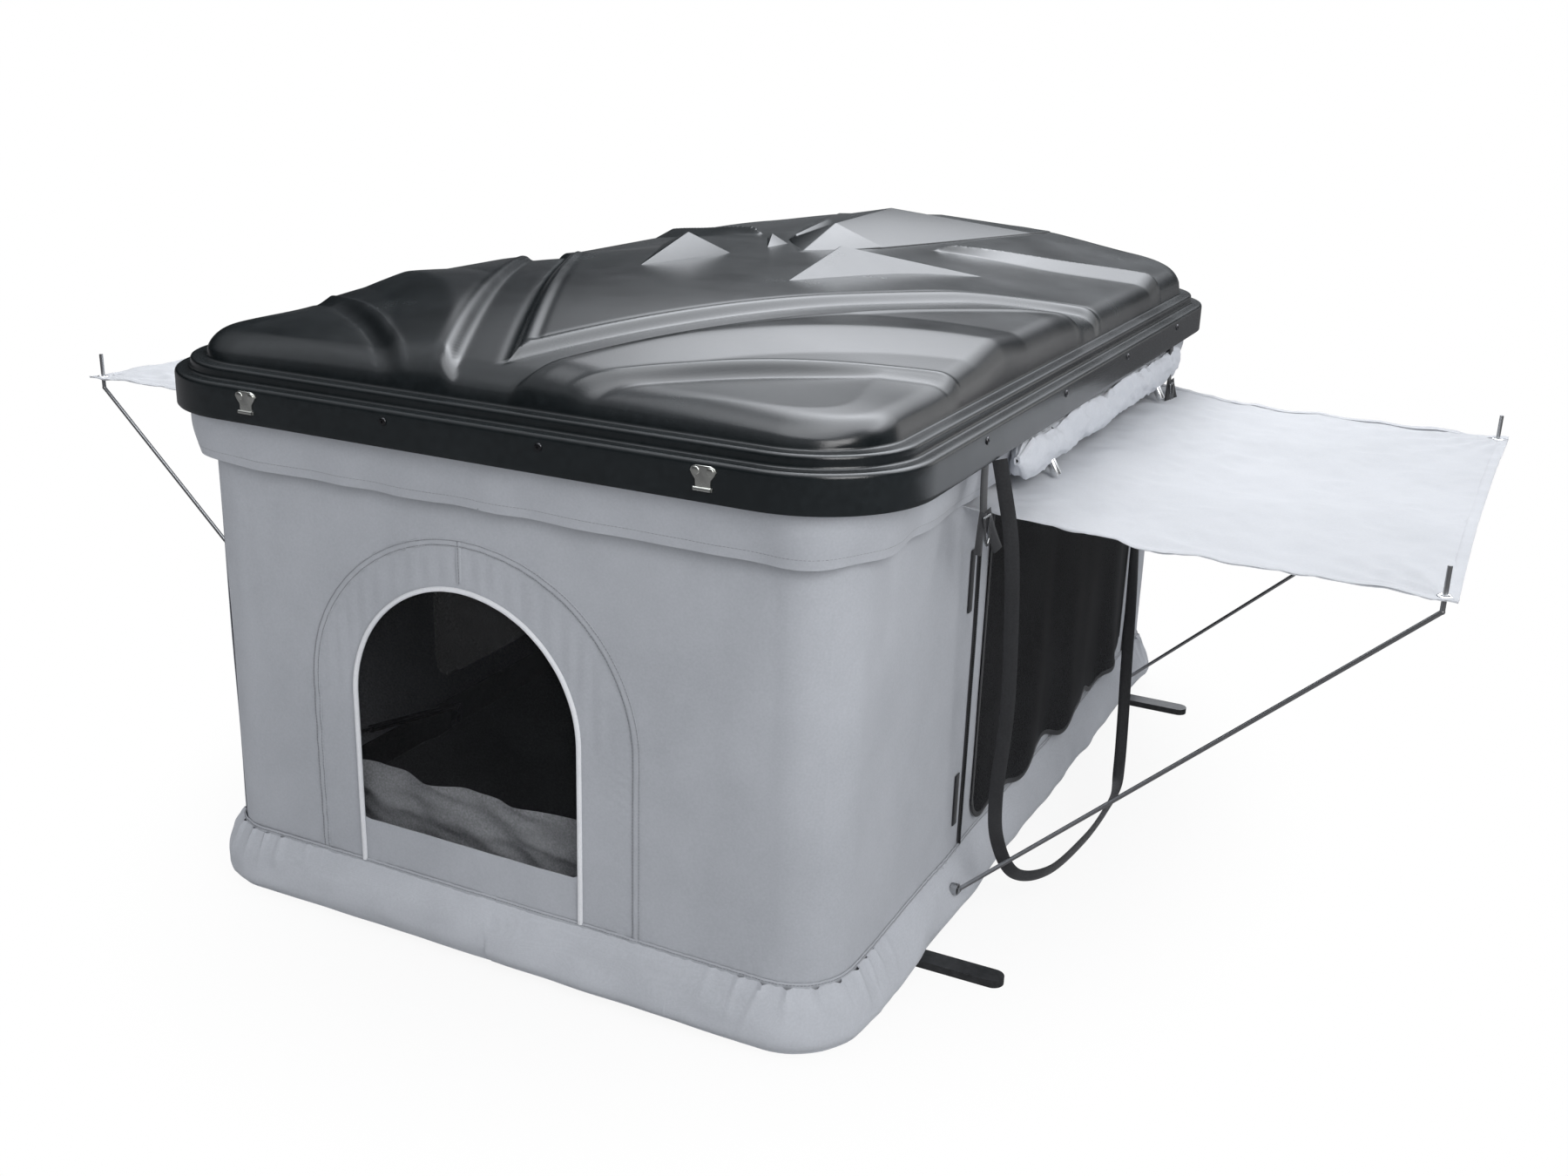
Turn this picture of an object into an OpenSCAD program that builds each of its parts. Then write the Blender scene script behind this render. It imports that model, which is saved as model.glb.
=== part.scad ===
// Pop-up hard-shell roof top tent, standing open. A base with mounting rails carries canvas walls and
// a moulded top shell on four folding arms with gas struts. An awning on two prop rods stands out from
// each long side. Millimetres; X is the width, Y runs from front to rear, Z is up from under the rails.

/* [Top shell] */
// Outside width of the rim
rim_w = 1400; // [1340:10:1500]
// Outside length of the rim
rim_l = 2100; // [2060:10:2300]
// Plan radius of the rim's corners
rim_r = 200; // [150:5:250]
// Height of the rim's lower edge with the tent open
rim_z = 916; // [880:2:960]
// Height of the rim's upright band
rim_h = 61; // [45:1:80]
// Width of each ledge above the rim
ledge = 27; // [18:1:34]
// Height of the step between the two ledges
step_h = 20; // [12:1:32]
// Rise of the roof above the upper ledge
roof_h = 117; // [96:1:136]
// How far the roof falls from its plateau to its front end
front_fall = 68; // [40:2:80]
// How far the roof falls from its middle to its sides
side_fall = 46; // [20:1:60]
// Share of that fall the front corners are spared
corner_ease = 0.55; // [0:0.05:0.8]
// How much further the sides fall behind the plateau's front edge
rear_fall = 16; // [0:1:24]
// Distance of the plateau's front edge from the middle
fall_y = 300; // [200:10:500]
// Share of the half width and length that the rounded shoulders take
shoulder = 0.1; // [0.06:0.01:0.2]
// Wall of the moulded shell
shell_t = 5; // [3:0.5:8]
// Depth of the two channels beside the plateau
channel_d = 16; // [6:1:24]
// Width of the channels across the tent
channel_b = 100; // [60:5:140]
// Rise of the lobes' ridges ahead of the channels
lobe_h = 11; // [2:1:18]
// Drop from the lobes to the front corner panels
corner_drop = 18; // [6:1:30]
// Width of the bevels between the roof's panels
bevel_b = 45; // [20:1:80]
// Rise of the spine wedge at the rear of the roof
spine_h = 56; // [30:1:70]
// Rise of the two pointed facets in the middle of the roof
facet_h = 44; // [20:1:60]
// Rise of the two bands that run out from the spine
band_h = 9; // [3:1:16]
// Gap between the shell's wall and what lies inside its rim
rim_gap = 0.6; // [0.5:0.1:1]
// Height of the ceiling liner above the rim's lower edge
liner_up = 14; // [8:1:25]
// Thickness of the ceiling liner
liner_t = 4; // [3:0.5:8]
// Width of the frame tube under the liner
frame_b = 20; // [15:1:22]
// Height of the frame tube under the liner
frame_h = 25; // [15:1:30]
// Width of the rubber seal inside the rim
seal_b = 12; // [8:1:20]

/* [Rim fittings] */
// Distance of each latch keeper from the middle of the end
keeper_x = 425; // [350:5:480]
// Width of a latch keeper's wings
keeper_w = 42; // [30:1:60]
// Height of a latch keeper
keeper_h = 38; // [28:1:44]
// Thickness of a latch keeper
keeper_t = 5; // [3:0.5:8]
// Distance of each end screw from the middle of the end
end_screw_x = 145; // [100:5:250]
// Distance between neighbouring screws on a long side
side_screw_pitch = 420; // [350:5:480]
// Head radius of the rim screws
screw_r = 6; // [4:0.5:9]
// Head height of the rim screws
screw_h = 3; // [2:0.5:5]

/* [Base] */
// Width of a mounting rail
rail_b = 40; // [30:1:60]
// Thickness of a mounting rail
rail_t = 14; // [10:1:20]
// Length of a mounting rail
rail_l = 1600; // [1500:10:1700]
// Distance of the front rail ahead of the middle
rail_front = 620; // [550:5:700]
// Distance of the rear rail behind the middle
rail_rear = 750; // [650:5:800]
// Radius of a rail's bolt holes
rail_hole_r = 4.5; // [3:0.25:6]
// Distance of a rail's bolt holes from the middle
rail_hole_x = 560; // [480:5:580]
// How far the rim overhangs the base tray on each side
side_over = 80; // [70:1:90]
// How far the rim overhangs the base tray at each end
end_over = 68; // [55:1:80]
// Plan radius of the tray's corners
tray_r = 100; // [60:5:120]
// Wall of the base tray
tray_t = 4; // [3:0.5:6]
// Floor of the base tray
tray_floor = 6; // [4:0.5:10]
// Height of the base tray
tray_h = 104; // [95:1:120]
// Thickness of the floor board
board_t = 12; // [9:1:15]
// Clearance round the floor board
board_gap = 0.5; // [0.3:0.1:1]
// Room beside the mattress for the lift, on each side
mat_side = 80; // [70:1:120]
// Room beyond the mattress at each end
mat_end = 62; // [40:1:120]
// Height of the mattress at its crown
mat_h = 88; // [60:2:92]
// How far the mattress sides are drawn in at top and bottom
mat_in = 14; // [6:1:25]

/* [Canvas] */
// Thickness of the canvas walls, skirt and valance
canvas_t = 3; // [2:0.5:5]
// How far the canvas laps down over the tray
canvas_lap = 18; // [10:1:30]
// Gap between the canvas and the parts that move past it
soft_gap = 0.3; // [0.2:0.1:1]
// Offset of the end window from the middle
win_x = -58; // [-120:2:120]
// Width of the end window
win_w = 446; // [360:2:540]
// Height of the end window's crown
win_top = 672; // [620:2:720]
// Height of the end window's mesh sill
win_sill = 210; // [190:2:260]
// Height of the foot of the end window's zip
zip_foot = 126; // [124:1:150]
// Width of the window's piping
piping_b = 8; // [5:1:12]
// How far the piping stands out
piping_t = 4; // [2:0.5:6]
// Thickness of the mesh
mesh_t = 1.5; // [1:0.5:2.5]
// Front edge of the door opening
door_front = -350; // [-420:5:-300]
// Rear edge of the door opening
door_rear = 700; // [600:5:720]
// Height of the door sill
door_sill = 135; // [128:1:160]
// Height of the door head
door_head = 800; // [760:2:806]
// Radius of the door's lower corners
door_r = 60; // [30:2:90]
// Top of the bulging skirt
skirt_top = 122; // [119:1:126]
// Height of the skirt's hem
skirt_hem = 15; // [15:1:25]
// How far the skirt bulges out from the walls
skirt_out = 36; // [25:1:44]
// Height of the valance's lower edge
val_z = 826; // [816:2:860]
// How far the valance stands out from the walls at its top
val_top = 34; // [28:1:38]
// How far the valance stands out from the walls at its lower edge
val_foot = 16; // [10:1:20]

/* [Awnings and prop rods] */
// Front edge of an awning
awn_front = -511; // [-540:1:-480]
// Rear edge of an awning
awn_rear = 720; // [700:1:740]
// Reach of an awning from the wall
awn_reach = 785; // [700:5:850]
// Height of an awning's outer edge
awn_z = 783; // [760:1:800]
// Height of an awning's root on the wall
awn_root_z = 808; // [800:1:814]
// Thickness of an awning
awn_t = 3; // [2:0.5:5]
// Sag of an awning between its rods
awn_sag = 14; // [0:1:30]
// Distance of the corner eyelets from an awning's edges
eyelet_in = 20; // [15:1:30]
// Radius of the corner eyelets
eyelet_r = 7; // [6:0.5:10]
// Radius of a prop rod
rod_r = 4; // [3:0.25:5]
// Radius of the rolled eye at a prop rod's foot
eye_r = 6; // [5.5:0.25:7]
// Width of the rolled eye at a prop rod's foot
eye_b = 10; // [6:0.5:10]
// Gap between a rolled eye and its socket
eye_gap = 0.25; // [0.1:0.05:0.5]
// Height of the prop rod's sockets
socket_z = 85; // [75:1:95]
// Outside radius of a socket
socket_r = 11; // [9:0.5:15]
// Length of a socket
socket_l = 12; // [9:0.5:15]
// How far a rod's hook stands above the awning
hook_up = 52; // [30:1:70]
// Radius of a rolled-up door flap
roll_r = 27; // [20:1:27]
// Height of a rolled-up door flap's middle
roll_z = 868; // [866:1:876]
// How far a rolled-up door flap is pressed in against the valance
roll_in = 6; // [0:0.25:10]
// Distance of a toggle from the middle of the flap
toggle_y = 384; // [300:2:450]
// Drop of a toggle below the middle of the flap
toggle_drop = 33; // [24:0.25:40]

/* [Lift] */
// Distance of the arms' pivots from the ends of the base tray
pivot_in = 132; // [112:1:202]
// Height of the arms' lower pivots
pivot_z = 127.5; // [120:0.5:135]
// Angle of the arms above level with the tent open
arm_open = 78; // [70:0.5:82]
// Width of an arm
arm_b = 30; // [24:1:34]
// Thickness of an arm
arm_t = 5; // [4:0.25:6]
// Radius of the pivot pins
pin_r = 6; // [4:0.25:8]
// Radial clearance of the pivot pins
pin_gap = 0.05; // [0.02:0.01:0.1]
// Gap between neighbouring arms and plates
side_gap = 1; // [0.5:0.25:1.5]
// Thickness of the arm brackets
plate_t = 4; // [3:0.5:6]
// Length of the arm brackets
plate_l = 80; // [60:2:100]
// Distance of a strut's lower pivot from the arm's pivot
strut_base = 550; // [480:5:600]
// Distance of a strut's upper pivot along the arm
strut_arm = 75; // [60:1:90]
// Height of a strut's lower pivot
strut_z = 100; // [80:1:110]
// Outside radius of a strut's tube
tube_r = 8; // [7:0.5:8]
// Length of a strut's tube
tube_l = 290; // [250:2:320]
// Radius of a strut's rod
strut_rod_r = 4; // [3:0.25:5]
// How far a strut's rod reaches into its tube
strut_in = 90; // [80:2:120]

/* [Straps] */
// Width of the pull strap
strap_b = 25; // [20:1:30]
// Thickness of the pull strap
strap_t = 2; // [1.5:0.5:4]
// Distance of the hook straps from the awning's ends
hook_strap_y = 118; // [60:2:140]
// Length of a hook strap
hook_strap_l = 62; // [40:2:90]
// Width of a hook strap
hook_strap_b = 20; // [14:1:26]
// Radius of a strap hook's wire
hook_r = 3; // [2:0.25:4]

/* [Hidden] */
$fn = 48;
eps = 0.01;
// Heights
tray_z = rail_t;
tray_top = tray_z + tray_h;
board_z = tray_z + tray_floor;
floor_z = board_z + board_t;
liner_z = rim_z + liner_up;
step_z = rim_z + rim_h;
roof_z = step_z + step_h;
// Base plan
tray_w = rim_w - 2 * side_over;
tray_l = rim_l - 2 * end_over;
pivot_y = tray_l / 2 - pivot_in;
mat_w = tray_w - 2 * mat_side;
mat_l = tray_l - 2 * mat_end;
// Canvas plan
wall_x = tray_w / 2 + canvas_t;
wall_y = tray_l / 2 + canvas_t;
wall_r = tray_r + canvas_t;
wall_foot = tray_top - canvas_lap;
// Lift: planes of the arms and plates, out from the middle
strut_x = tray_w / 2 - tray_t - board_gap - tube_r - side_gap;
low_x = strut_x - tube_r - side_gap - arm_t / 2;
up_x = low_x - arm_t - side_gap;
ear_low_x = low_x + arm_t / 2 + side_gap + plate_t / 2;
ear_up_x = up_x - arm_t / 2 - side_gap - plate_t / 2;
pivot_top = liner_z - arm_b / 2 - 5;
arm_l = (pivot_top - pivot_z) / (2 * sin(arm_open));
// Struts: ends in the YZ plane, measured from the front arm's pivot
strut_tip = [strut_arm * cos(arm_open), pivot_z + strut_arm * sin(arm_open)];
strut_run = strut_base - strut_tip[0];
strut_rise = strut_tip[1] - strut_z;
strut_len = sqrt(strut_run * strut_run + strut_rise * strut_rise);
strut_tilt = atan2(strut_rise, strut_run);
// Prop rods
socket_x = wall_x + skirt_out + canvas_t;
awn_out = wall_x + awn_reach;
hook_x = awn_out - eyelet_in;
rod_bend = [hook_x, awn_z - 22];
rod_run = rod_bend[0] - socket_x;
rod_rise = rod_bend[1] - socket_z;
rod_len = sqrt(rod_run * rod_run + rod_rise * rod_rise);
rod_tilt = atan2(rod_rise, rod_run);
// Door flap roll
roll_x = wall_x + val_top + canvas_t + roll_r * 0.8 - roll_in;
// Pull strap: hand-chosen points of its middle line from the rim's side, and its far end on the wall
rim_x = rim_w / 2;
strap_route = [[rim_x - 3, -552, 911], [rim_x + 8, -548, 860], [rim_x + 26, -545, 770], [rim_x + 36, -542, 640],
  [rim_x + 40, -536, 470], [rim_x + 28, -520, 300], [rim_x + 24, -474, 190], [rim_x + 48, -430, 112],
  [rim_x + 84, -330, 80], [rim_x + 102, -160, 70], [rim_x + 104, -20, 68], [rim_x + 100, 80, 76],
  [rim_x + 90, 135, 110], [rim_x + 76, 185, 190], [rim_x + 58, 240, 300], [rim_x + 28, 345, 450],
  [rim_x - 10, 470, 610], [rim_x - 52, 580, 735], [wall_x + 1.1, 622, 772]];

function ramp(t) = t <= 0 ? 0 : t >= 1 ? 1 : t * t * (3 - 2 * t);
function mid(a, b, t) = a + (b - a) * t;

// Rounded rectangle as points with outward normals: [x, y, nx, ny], counter-clockwise
function corner(cx, cy, r, a0, n) = [for (i = [0 : n]) let (a = a0 + 90 * i / n)
  [cx + r * cos(a), cy + r * sin(a), cos(a), sin(a)]];
function side(p, q, n) = [for (i = [1 : n - 1]) [mid(p[0], q[0], i / n), mid(p[1], q[1], i / n), p[2], p[3]]];
function ring(hx, hy, r, nc, nx, ny) = let (
  a = corner(hx - r, hy - r, r, 0, nc), b = corner(r - hx, hy - r, r, 90, nc),
  c = corner(r - hx, r - hy, r, 180, nc), d = corner(hx - r, r - hy, r, 270, nc))
  concat(a, side(a[nc], b[0], nx), b, side(b[nc], c[0], ny), c, side(c[nc], d[0], nx), d, side(d[nc], a[0], ny));

// Triangles over a grid of m rows of n points, closed round each row
function band(m, n, base, flip) = [for (k = [0 : m - 2], i = [0 : n - 1], t = [0, 1]) let (
  p = base + k * n + i, q = base + k * n + (i + 1) % n,
  f = t == 0 ? [p, q, q + n] : [p, q + n, p + n]) flip ? [f[2], f[1], f[0]] : f];

// A loop of profile points [out, z] carried round a path
module hoop(path, profile) {
  n = len(path);
  m = len(profile);
  pts = [for (s = concat(profile, [profile[0]])) for (p = path)
    [p[0] + s[0] * p[2], p[1] + s[0] * p[3], s[1]]];
  shut = [for (i = [0 : m * n - 1]) pts[i]];
  faces = [for (f = band(m + 1, n, 0, true)) [for (v = f) v % (m * n)]];
  polyhedron(shut, faces);
}

module round_plate(w, l, r, t) {
  linear_extrude(t) round_outline(w, l, r);
}

module round_outline(w, l, r) {
  square([w - 2 * r, l], center = true);
  square([w, l - 2 * r], center = true);
  for (x = [-1, 1], y = [-1, 1]) translate([x * (w / 2 - r), y * (l / 2 - r)]) circle(r);
}

module mirror_x() {
  children();
  mirror([1, 0, 0]) children();
}

module mirror_y() {
  children();
  mirror([0, 1, 0]) children();
}

// The roof: a plateau with a sunk channel, a ridged lobe and a low panel ahead of it on either side,
// two pointed facets on it, and a spine wedge and two bands behind them. Plan curves give y at a = |x|.
plateau_edge = [211, 580, 1.89, 60];
lobe_ridge = [-100, 80, 880, 500];
corner_edge = [-200, 140, 810, 750];
facet_plan = [[155, -270], [410, 228], [108, 30]];
facet_tip = [172, -40];
spine_tip = 150;
spine_edge = [[112, 300], [304, 790]];
spine_rise = [[spine_tip, 0], [340, 0.75], [620, 1], [900, 0.6], [990, 0]];
band_edge = [183, 393];
band_slant = [0.53, 0.4];
band_x = 190;
function lean(a) = 1 / (1 + exp((a - plateau_edge[1]) / plateau_edge[3]));
function plateau_y(a) = plateau_edge[0]
  - plateau_edge[2] * plateau_edge[3] * ln(1 + exp((plateau_edge[1] - a) / plateau_edge[3]));
function plateau_ahead(a, y) = (plateau_y(a) - y) / norm([1, plateau_edge[2] * lean(a)]);
function arc_y(c, a) = c[0] - c[2] * exp(-(a - c[1]) / c[3]);
function arc_ahead(c, a, y) = (arc_y(c, a) - y) / norm([1, c[2] / c[3] * exp(-(a - c[1]) / c[3])]);
function edge(p, a, b) = ((b[0] - a[0]) * (p[1] - a[1]) - (b[1] - a[1]) * (p[0] - a[0])) / norm(b - a);
function pointed(p, t, tip) = max(0, min([for (i = [0 : 2]) let (a = t[i], b = t[(i + 1) % 3])
  edge(p, a, b) / edge(tip, a, b)]));
function spine_half(y) = lookup(y, [[spine_tip, 0], [spine_edge[0][1], spine_edge[0][0]],
  [spine_edge[1][1], spine_edge[1][0]], [rim_l / 2, spine_edge[1][0] + 100]]);
function channel(a, y) = ramp(plateau_ahead(a, y) / bevel_b)
  * (1 - ramp(plateau_ahead(a - channel_b, y) / bevel_b + 1));
function fall(y) = front_fall * pow(max(0, (-y - fall_y) / (rim_l / 2 - 50 - fall_y)), 2);
function slump(a, y) = side_fall * pow(a / 600, 2.35) * (1 - corner_ease * ramp((-y - 650) / 300))
  + rear_fall * ramp((a - 200) / 300) * ramp((y + 100) / 300);
function relief(x, y) = let (a = abs(x), ridge = arc_ahead(lobe_ridge, a, y), low = arc_ahead(corner_edge, a, y))
  facet_h * pointed([a, y], facet_plan, facet_tip)
  + spine_h * lookup(y, spine_rise) * max(0, 1 - 0.8 * a / max(1, spine_half(y))) * (a < spine_half(y) ? 1 : 0)
  + band_h * ramp((a - band_x) / 40) * ramp((y - band_slant[0] * a - band_edge[0]) / bevel_b)
    * ramp((band_edge[1] + band_slant[1] * a - y) / bevel_b)
  + lobe_h * max(0, 1 - abs(ridge) / 90) - channel_d * channel(a, y)
  - ramp(low / bevel_b) * max(corner_drop - fall(y) * 0.4, 4);
function round_off(s) = s <= 1 - shoulder ? 1 : sqrt(max(0, 1 - pow((s - 1 + shoulder) / shoulder, 2)));
function roof(x, y, s) = roof_z + 1 + max(6, roof_h - fall(y) - slump(abs(x), y) + relief(x, y)) * round_off(s);

module top_shell() {
  foot = 2 * ledge;
  inner_rows = 14;
  rim = ring(rim_w / 2, rim_l / 2, rim_r, 12, 8, 14);
  n = len(rim);
  out = [[0, rim_z], [0, step_z], [-ledge, step_z + 1], [-ledge, roof_z], [-foot, roof_z + 1]];
  in = [for (s = out) [s[0] - shell_t, s[1] == rim_z ? rim_z : s[1] - shell_t]];
  scaled = concat([for (k = [0.05, 0.2, 0.45, 0.75, 1]) 1 - shoulder * k],
    [for (k = [1 : inner_rows]) (1 - shoulder) * (1 - k / (inner_rows + 0.5))]);
  low_pts = [for (s = out) for (p = rim) [p[0] + s[0] * p[2], p[1] + s[0] * p[3], s[1]]];
  roof_pts = [for (s = scaled) for (p = rim) let (x = s * (p[0] - foot * p[2]), y = s * (p[1] - foot * p[3]))
    [x, y, roof(x, y, s)]];
  inner_low = [for (s = in) for (p = rim) [p[0] + s[0] * p[2], p[1] + s[0] * p[3], s[1]]];
  inner_roof = [for (s = scaled) for (p = rim)
    let (e = foot + shell_t, x = s * (p[0] - e * p[2]), y = s * (p[1] - e * p[3]))
    [x, y, roof(x, y, s) - shell_t]];
  m = len(out) + len(scaled);
  outer = concat(low_pts, roof_pts);
  inner = concat(inner_low, inner_roof);
  crown = roof(0, 0, 0);
  pts = concat(outer, inner, [[0, 0, crown], [0, 0, crown - shell_t]]);
  b = m * n;
  faces = concat(
    band(m, n, 0, true), band(m, n, b, false),
    [for (i = [0 : n - 1]) let (j = (i + 1) % n) [2 * b, (m - 1) * n + j, (m - 1) * n + i]],
    [for (i = [0 : n - 1]) let (j = (i + 1) % n) [2 * b + 1, b + (m - 1) * n + i, b + (m - 1) * n + j]],
    [for (i = [0 : n - 1]) let (j = (i + 1) % n) [i, j, b + j]],
    [for (i = [0 : n - 1]) let (j = (i + 1) % n) [i, b + j, b + i]]);
  color("#1c1f22") polyhedron(pts, faces);
}

inside = shell_t + rim_gap;

module shell_liner() {
  color("#8a8e92") translate([0, 0, liner_z])
    round_plate(rim_w - 2 * inside, rim_l - 2 * inside, rim_r - inside, liner_t);
}

module shell_frame() {
  color("#a7abae") translate([0, 0, liner_z - frame_h]) linear_extrude(frame_h) difference() {
    round_outline(tray_w - 2 * soft_gap, tray_l - 2 * soft_gap, tray_r - soft_gap);
    round_outline(tray_w - 2 * frame_b, tray_l - 2 * frame_b, tray_r - frame_b);
  }
}

module rim_seal() {
  color("#0e0f10") translate([0, 0, rim_z + 2]) linear_extrude(liner_up - 2) difference() {
    round_outline(rim_w - 2 * inside, rim_l - 2 * inside, rim_r - inside);
    round_outline(rim_w - 2 * (inside + seal_b), rim_l - 2 * (inside + seal_b), rim_r - inside - seal_b);
  }
}

module rim_screws() {
  z = rim_z + rim_h * 0.7;
  color("#2a2d30") {
    mirror_y() for (x = [-1, 1]) translate([x * end_screw_x, -rim_l / 2, z])
      rotate([90, 0, 0]) cylinder(r = screw_r, h = screw_h);
    mirror_x() for (i = [-1.5 : 1 : 1.5]) translate([rim_w / 2, i * side_screw_pitch, z])
      rotate([0, 90, 0]) cylinder(r = screw_r, h = screw_h);
  }
}

module latch_keepers() {
  w = keeper_w / 2;
  z = rim_z + rim_h / 2;
  color("#c9ccd0") mirror_y() for (x = [-1, 1]) translate([x * keeper_x, -rim_l / 2, z + 6])
    rotate([90, 0, 0]) linear_extrude(keeper_t) polygon([[-w * 0.55, -keeper_h / 2], [w * 0.55, -keeper_h / 2],
      [w * 0.62, -keeper_h / 2 + 6], [w * 0.5, 0], [w, keeper_h / 2 - 12], [w * 0.8, keeper_h / 2 - 3],
      [0, keeper_h / 2], [-w * 0.8, keeper_h / 2 - 3], [-w, keeper_h / 2 - 12], [-w * 0.5, 0],
      [-w * 0.62, -keeper_h / 2 + 6]]);
}

module valance() {
  path = ring(wall_x, wall_y, wall_r, 8, 10, 16);
  color("#9ba0a5") hoop(path, [[val_foot, val_z], [val_foot + canvas_t, val_z],
    [val_top + canvas_t, liner_z - 30], [val_top + canvas_t, liner_z], [val_top, liner_z], [val_top, liner_z - 30]]);
}

module mount_rail(y) {
  color("#17191b") translate([0, y, 0]) difference() {
    union() {
      translate([-rail_l / 2 + rail_b / 2, -rail_b / 2, 0]) cube([rail_l - rail_b, rail_b, rail_t]);
      for (x = [-1, 1]) translate([x * (rail_l - rail_b) / 2, 0, 0]) cylinder(d = rail_b, h = rail_t);
    }
    for (x = [-1, 1]) translate([x * rail_hole_x, 0, -1]) cylinder(r = rail_hole_r, h = rail_t + 2);
  }
}

module mount_rail_front() {
  mount_rail(-rail_front);
}

module mount_rail_rear() {
  mount_rail(rail_rear);
}

module base_tray() {
  color("#202326") translate([0, 0, tray_z]) difference() {
    round_plate(tray_w, tray_l, tray_r, tray_h);
    translate([0, 0, tray_floor])
      round_plate(tray_w - 2 * tray_t, tray_l - 2 * tray_t, tray_r - tray_t, tray_h);
  }
}

module floor_board() {
  e = 2 * (tray_t + board_gap);
  color("#b48a5a") translate([0, 0, board_z]) round_plate(tray_w - e, tray_l - e, tray_r - e / 2, board_t);
}

module mattress() {
  path = ring(mat_w / 2, mat_l / 2, 60, 6, 5, 8);
  n = len(path);
  side_rows = [[-mat_in, 0], [-mat_in / 3, mat_h * 0.18], [0, mat_h * 0.45], [-mat_in / 3, mat_h * 0.72],
    [-mat_in, mat_h * 0.88]];
  inner = [0.85, 0.6, 0.3];
  pts = concat([for (s = side_rows) for (p = path) [p[0] + s[0] * p[2], p[1] + s[0] * p[3], floor_z + s[1]]],
    [for (k = inner) for (p = path) [k * p[0], k * p[1], floor_z + mat_h * (1 - 0.12 * pow(k, 4))]],
    [[0, 0, floor_z + mat_h], [0, 0, floor_z]]);
  m = len(side_rows) + len(inner);
  faces = concat(band(m, n, 0, true), [for (i = [0 : n - 1]) [m * n, (m - 1) * n + (i + 1) % n, (m - 1) * n + i]],
    [for (i = [0 : n - 1]) [m * n + 1, i, (i + 1) % n]]);
  color("#6f757b") polyhedron(pts, faces);
}

// Canvas: one tube round the tray, cut into four panels along the corners
module wall_panel(end) {
  k = tray_r + 60;
  e = wall_x + 50;
  f = wall_y + 50;
  linear_extrude(liner_z - soft_gap - wall_foot) intersection() {
    difference() {
      round_outline(2 * wall_x, 2 * wall_y, wall_r);
      round_outline(tray_w, tray_l, tray_r);
    }
    if (end) polygon([[-e, -f], [e, -f], [e - k - 50, k - wall_y], [k + 50 - e, k - wall_y]]);
    else polygon([[e, -f], [e, f], [e - k - 50, wall_y - k], [e - k - 50, k - wall_y]]);
  }
}

module arch(grow, foot) {
  r = win_w / 2 + grow;
  c = win_top - win_w / 2;
  translate([win_x, c]) circle(r);
  translate([win_x - r, foot]) square([2 * r, c - foot]);
}

module end_wall() {
  difference() {
    translate([0, 0, wall_foot]) wall_panel(true);
    translate([0, 50 - wall_y, 0]) rotate([90, 0, 0]) linear_extrude(100) arch(0, win_sill);
  }
}

module wall_front() {
  color("#979ca1") end_wall();
}

module wall_rear() {
  color("#979ca1") mirror([0, 1, 0]) end_wall();
}

module door_outline() {
  translate([door_front, door_sill + door_r]) square([door_rear - door_front, door_head - door_sill - door_r]);
  translate([door_front + door_r, door_sill]) square([door_rear - door_front - 2 * door_r, 2 * door_r]);
  for (y = [door_front + door_r, door_rear - door_r]) translate([y, door_sill + door_r]) circle(door_r);
}

module side_wall() {
  difference() {
    translate([0, 0, wall_foot]) wall_panel(false);
    translate([wall_x - 50, 0, 0]) rotate([90, 0, 90]) linear_extrude(100) door_outline();
  }
}

module wall_right() {
  color("#979ca1") side_wall();
}

module wall_left() {
  color("#979ca1") mirror([1, 0, 0]) side_wall();
}

module end_mesh() {
  color("#2b2e31") translate([0, mesh_t - wall_y, 0]) rotate([90, 0, 0]) linear_extrude(mesh_t) arch(0, win_sill);
}

module mesh_front() {
  end_mesh();
}

module mesh_rear() {
  mirror([0, 1, 0]) end_mesh();
}

module door_mesh() {
  color("#1a1c1e") translate([wall_x - mesh_t, 0, 0]) rotate([90, 0, 90]) linear_extrude(mesh_t) door_outline();
}

module mesh_right() {
  door_mesh();
}

module mesh_left() {
  mirror([1, 0, 0]) door_mesh();
}

module piping() {
  color("#e6e8ea") translate([0, -wall_y, 0]) rotate([90, 0, 0]) linear_extrude(piping_t) difference() {
    arch(piping_b / 2, zip_foot);
    translate([0, -1]) arch(-piping_b / 2, zip_foot);
  }
}

module piping_front() {
  piping();
}

module piping_rear() {
  mirror([0, 1, 0]) piping();
}

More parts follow.
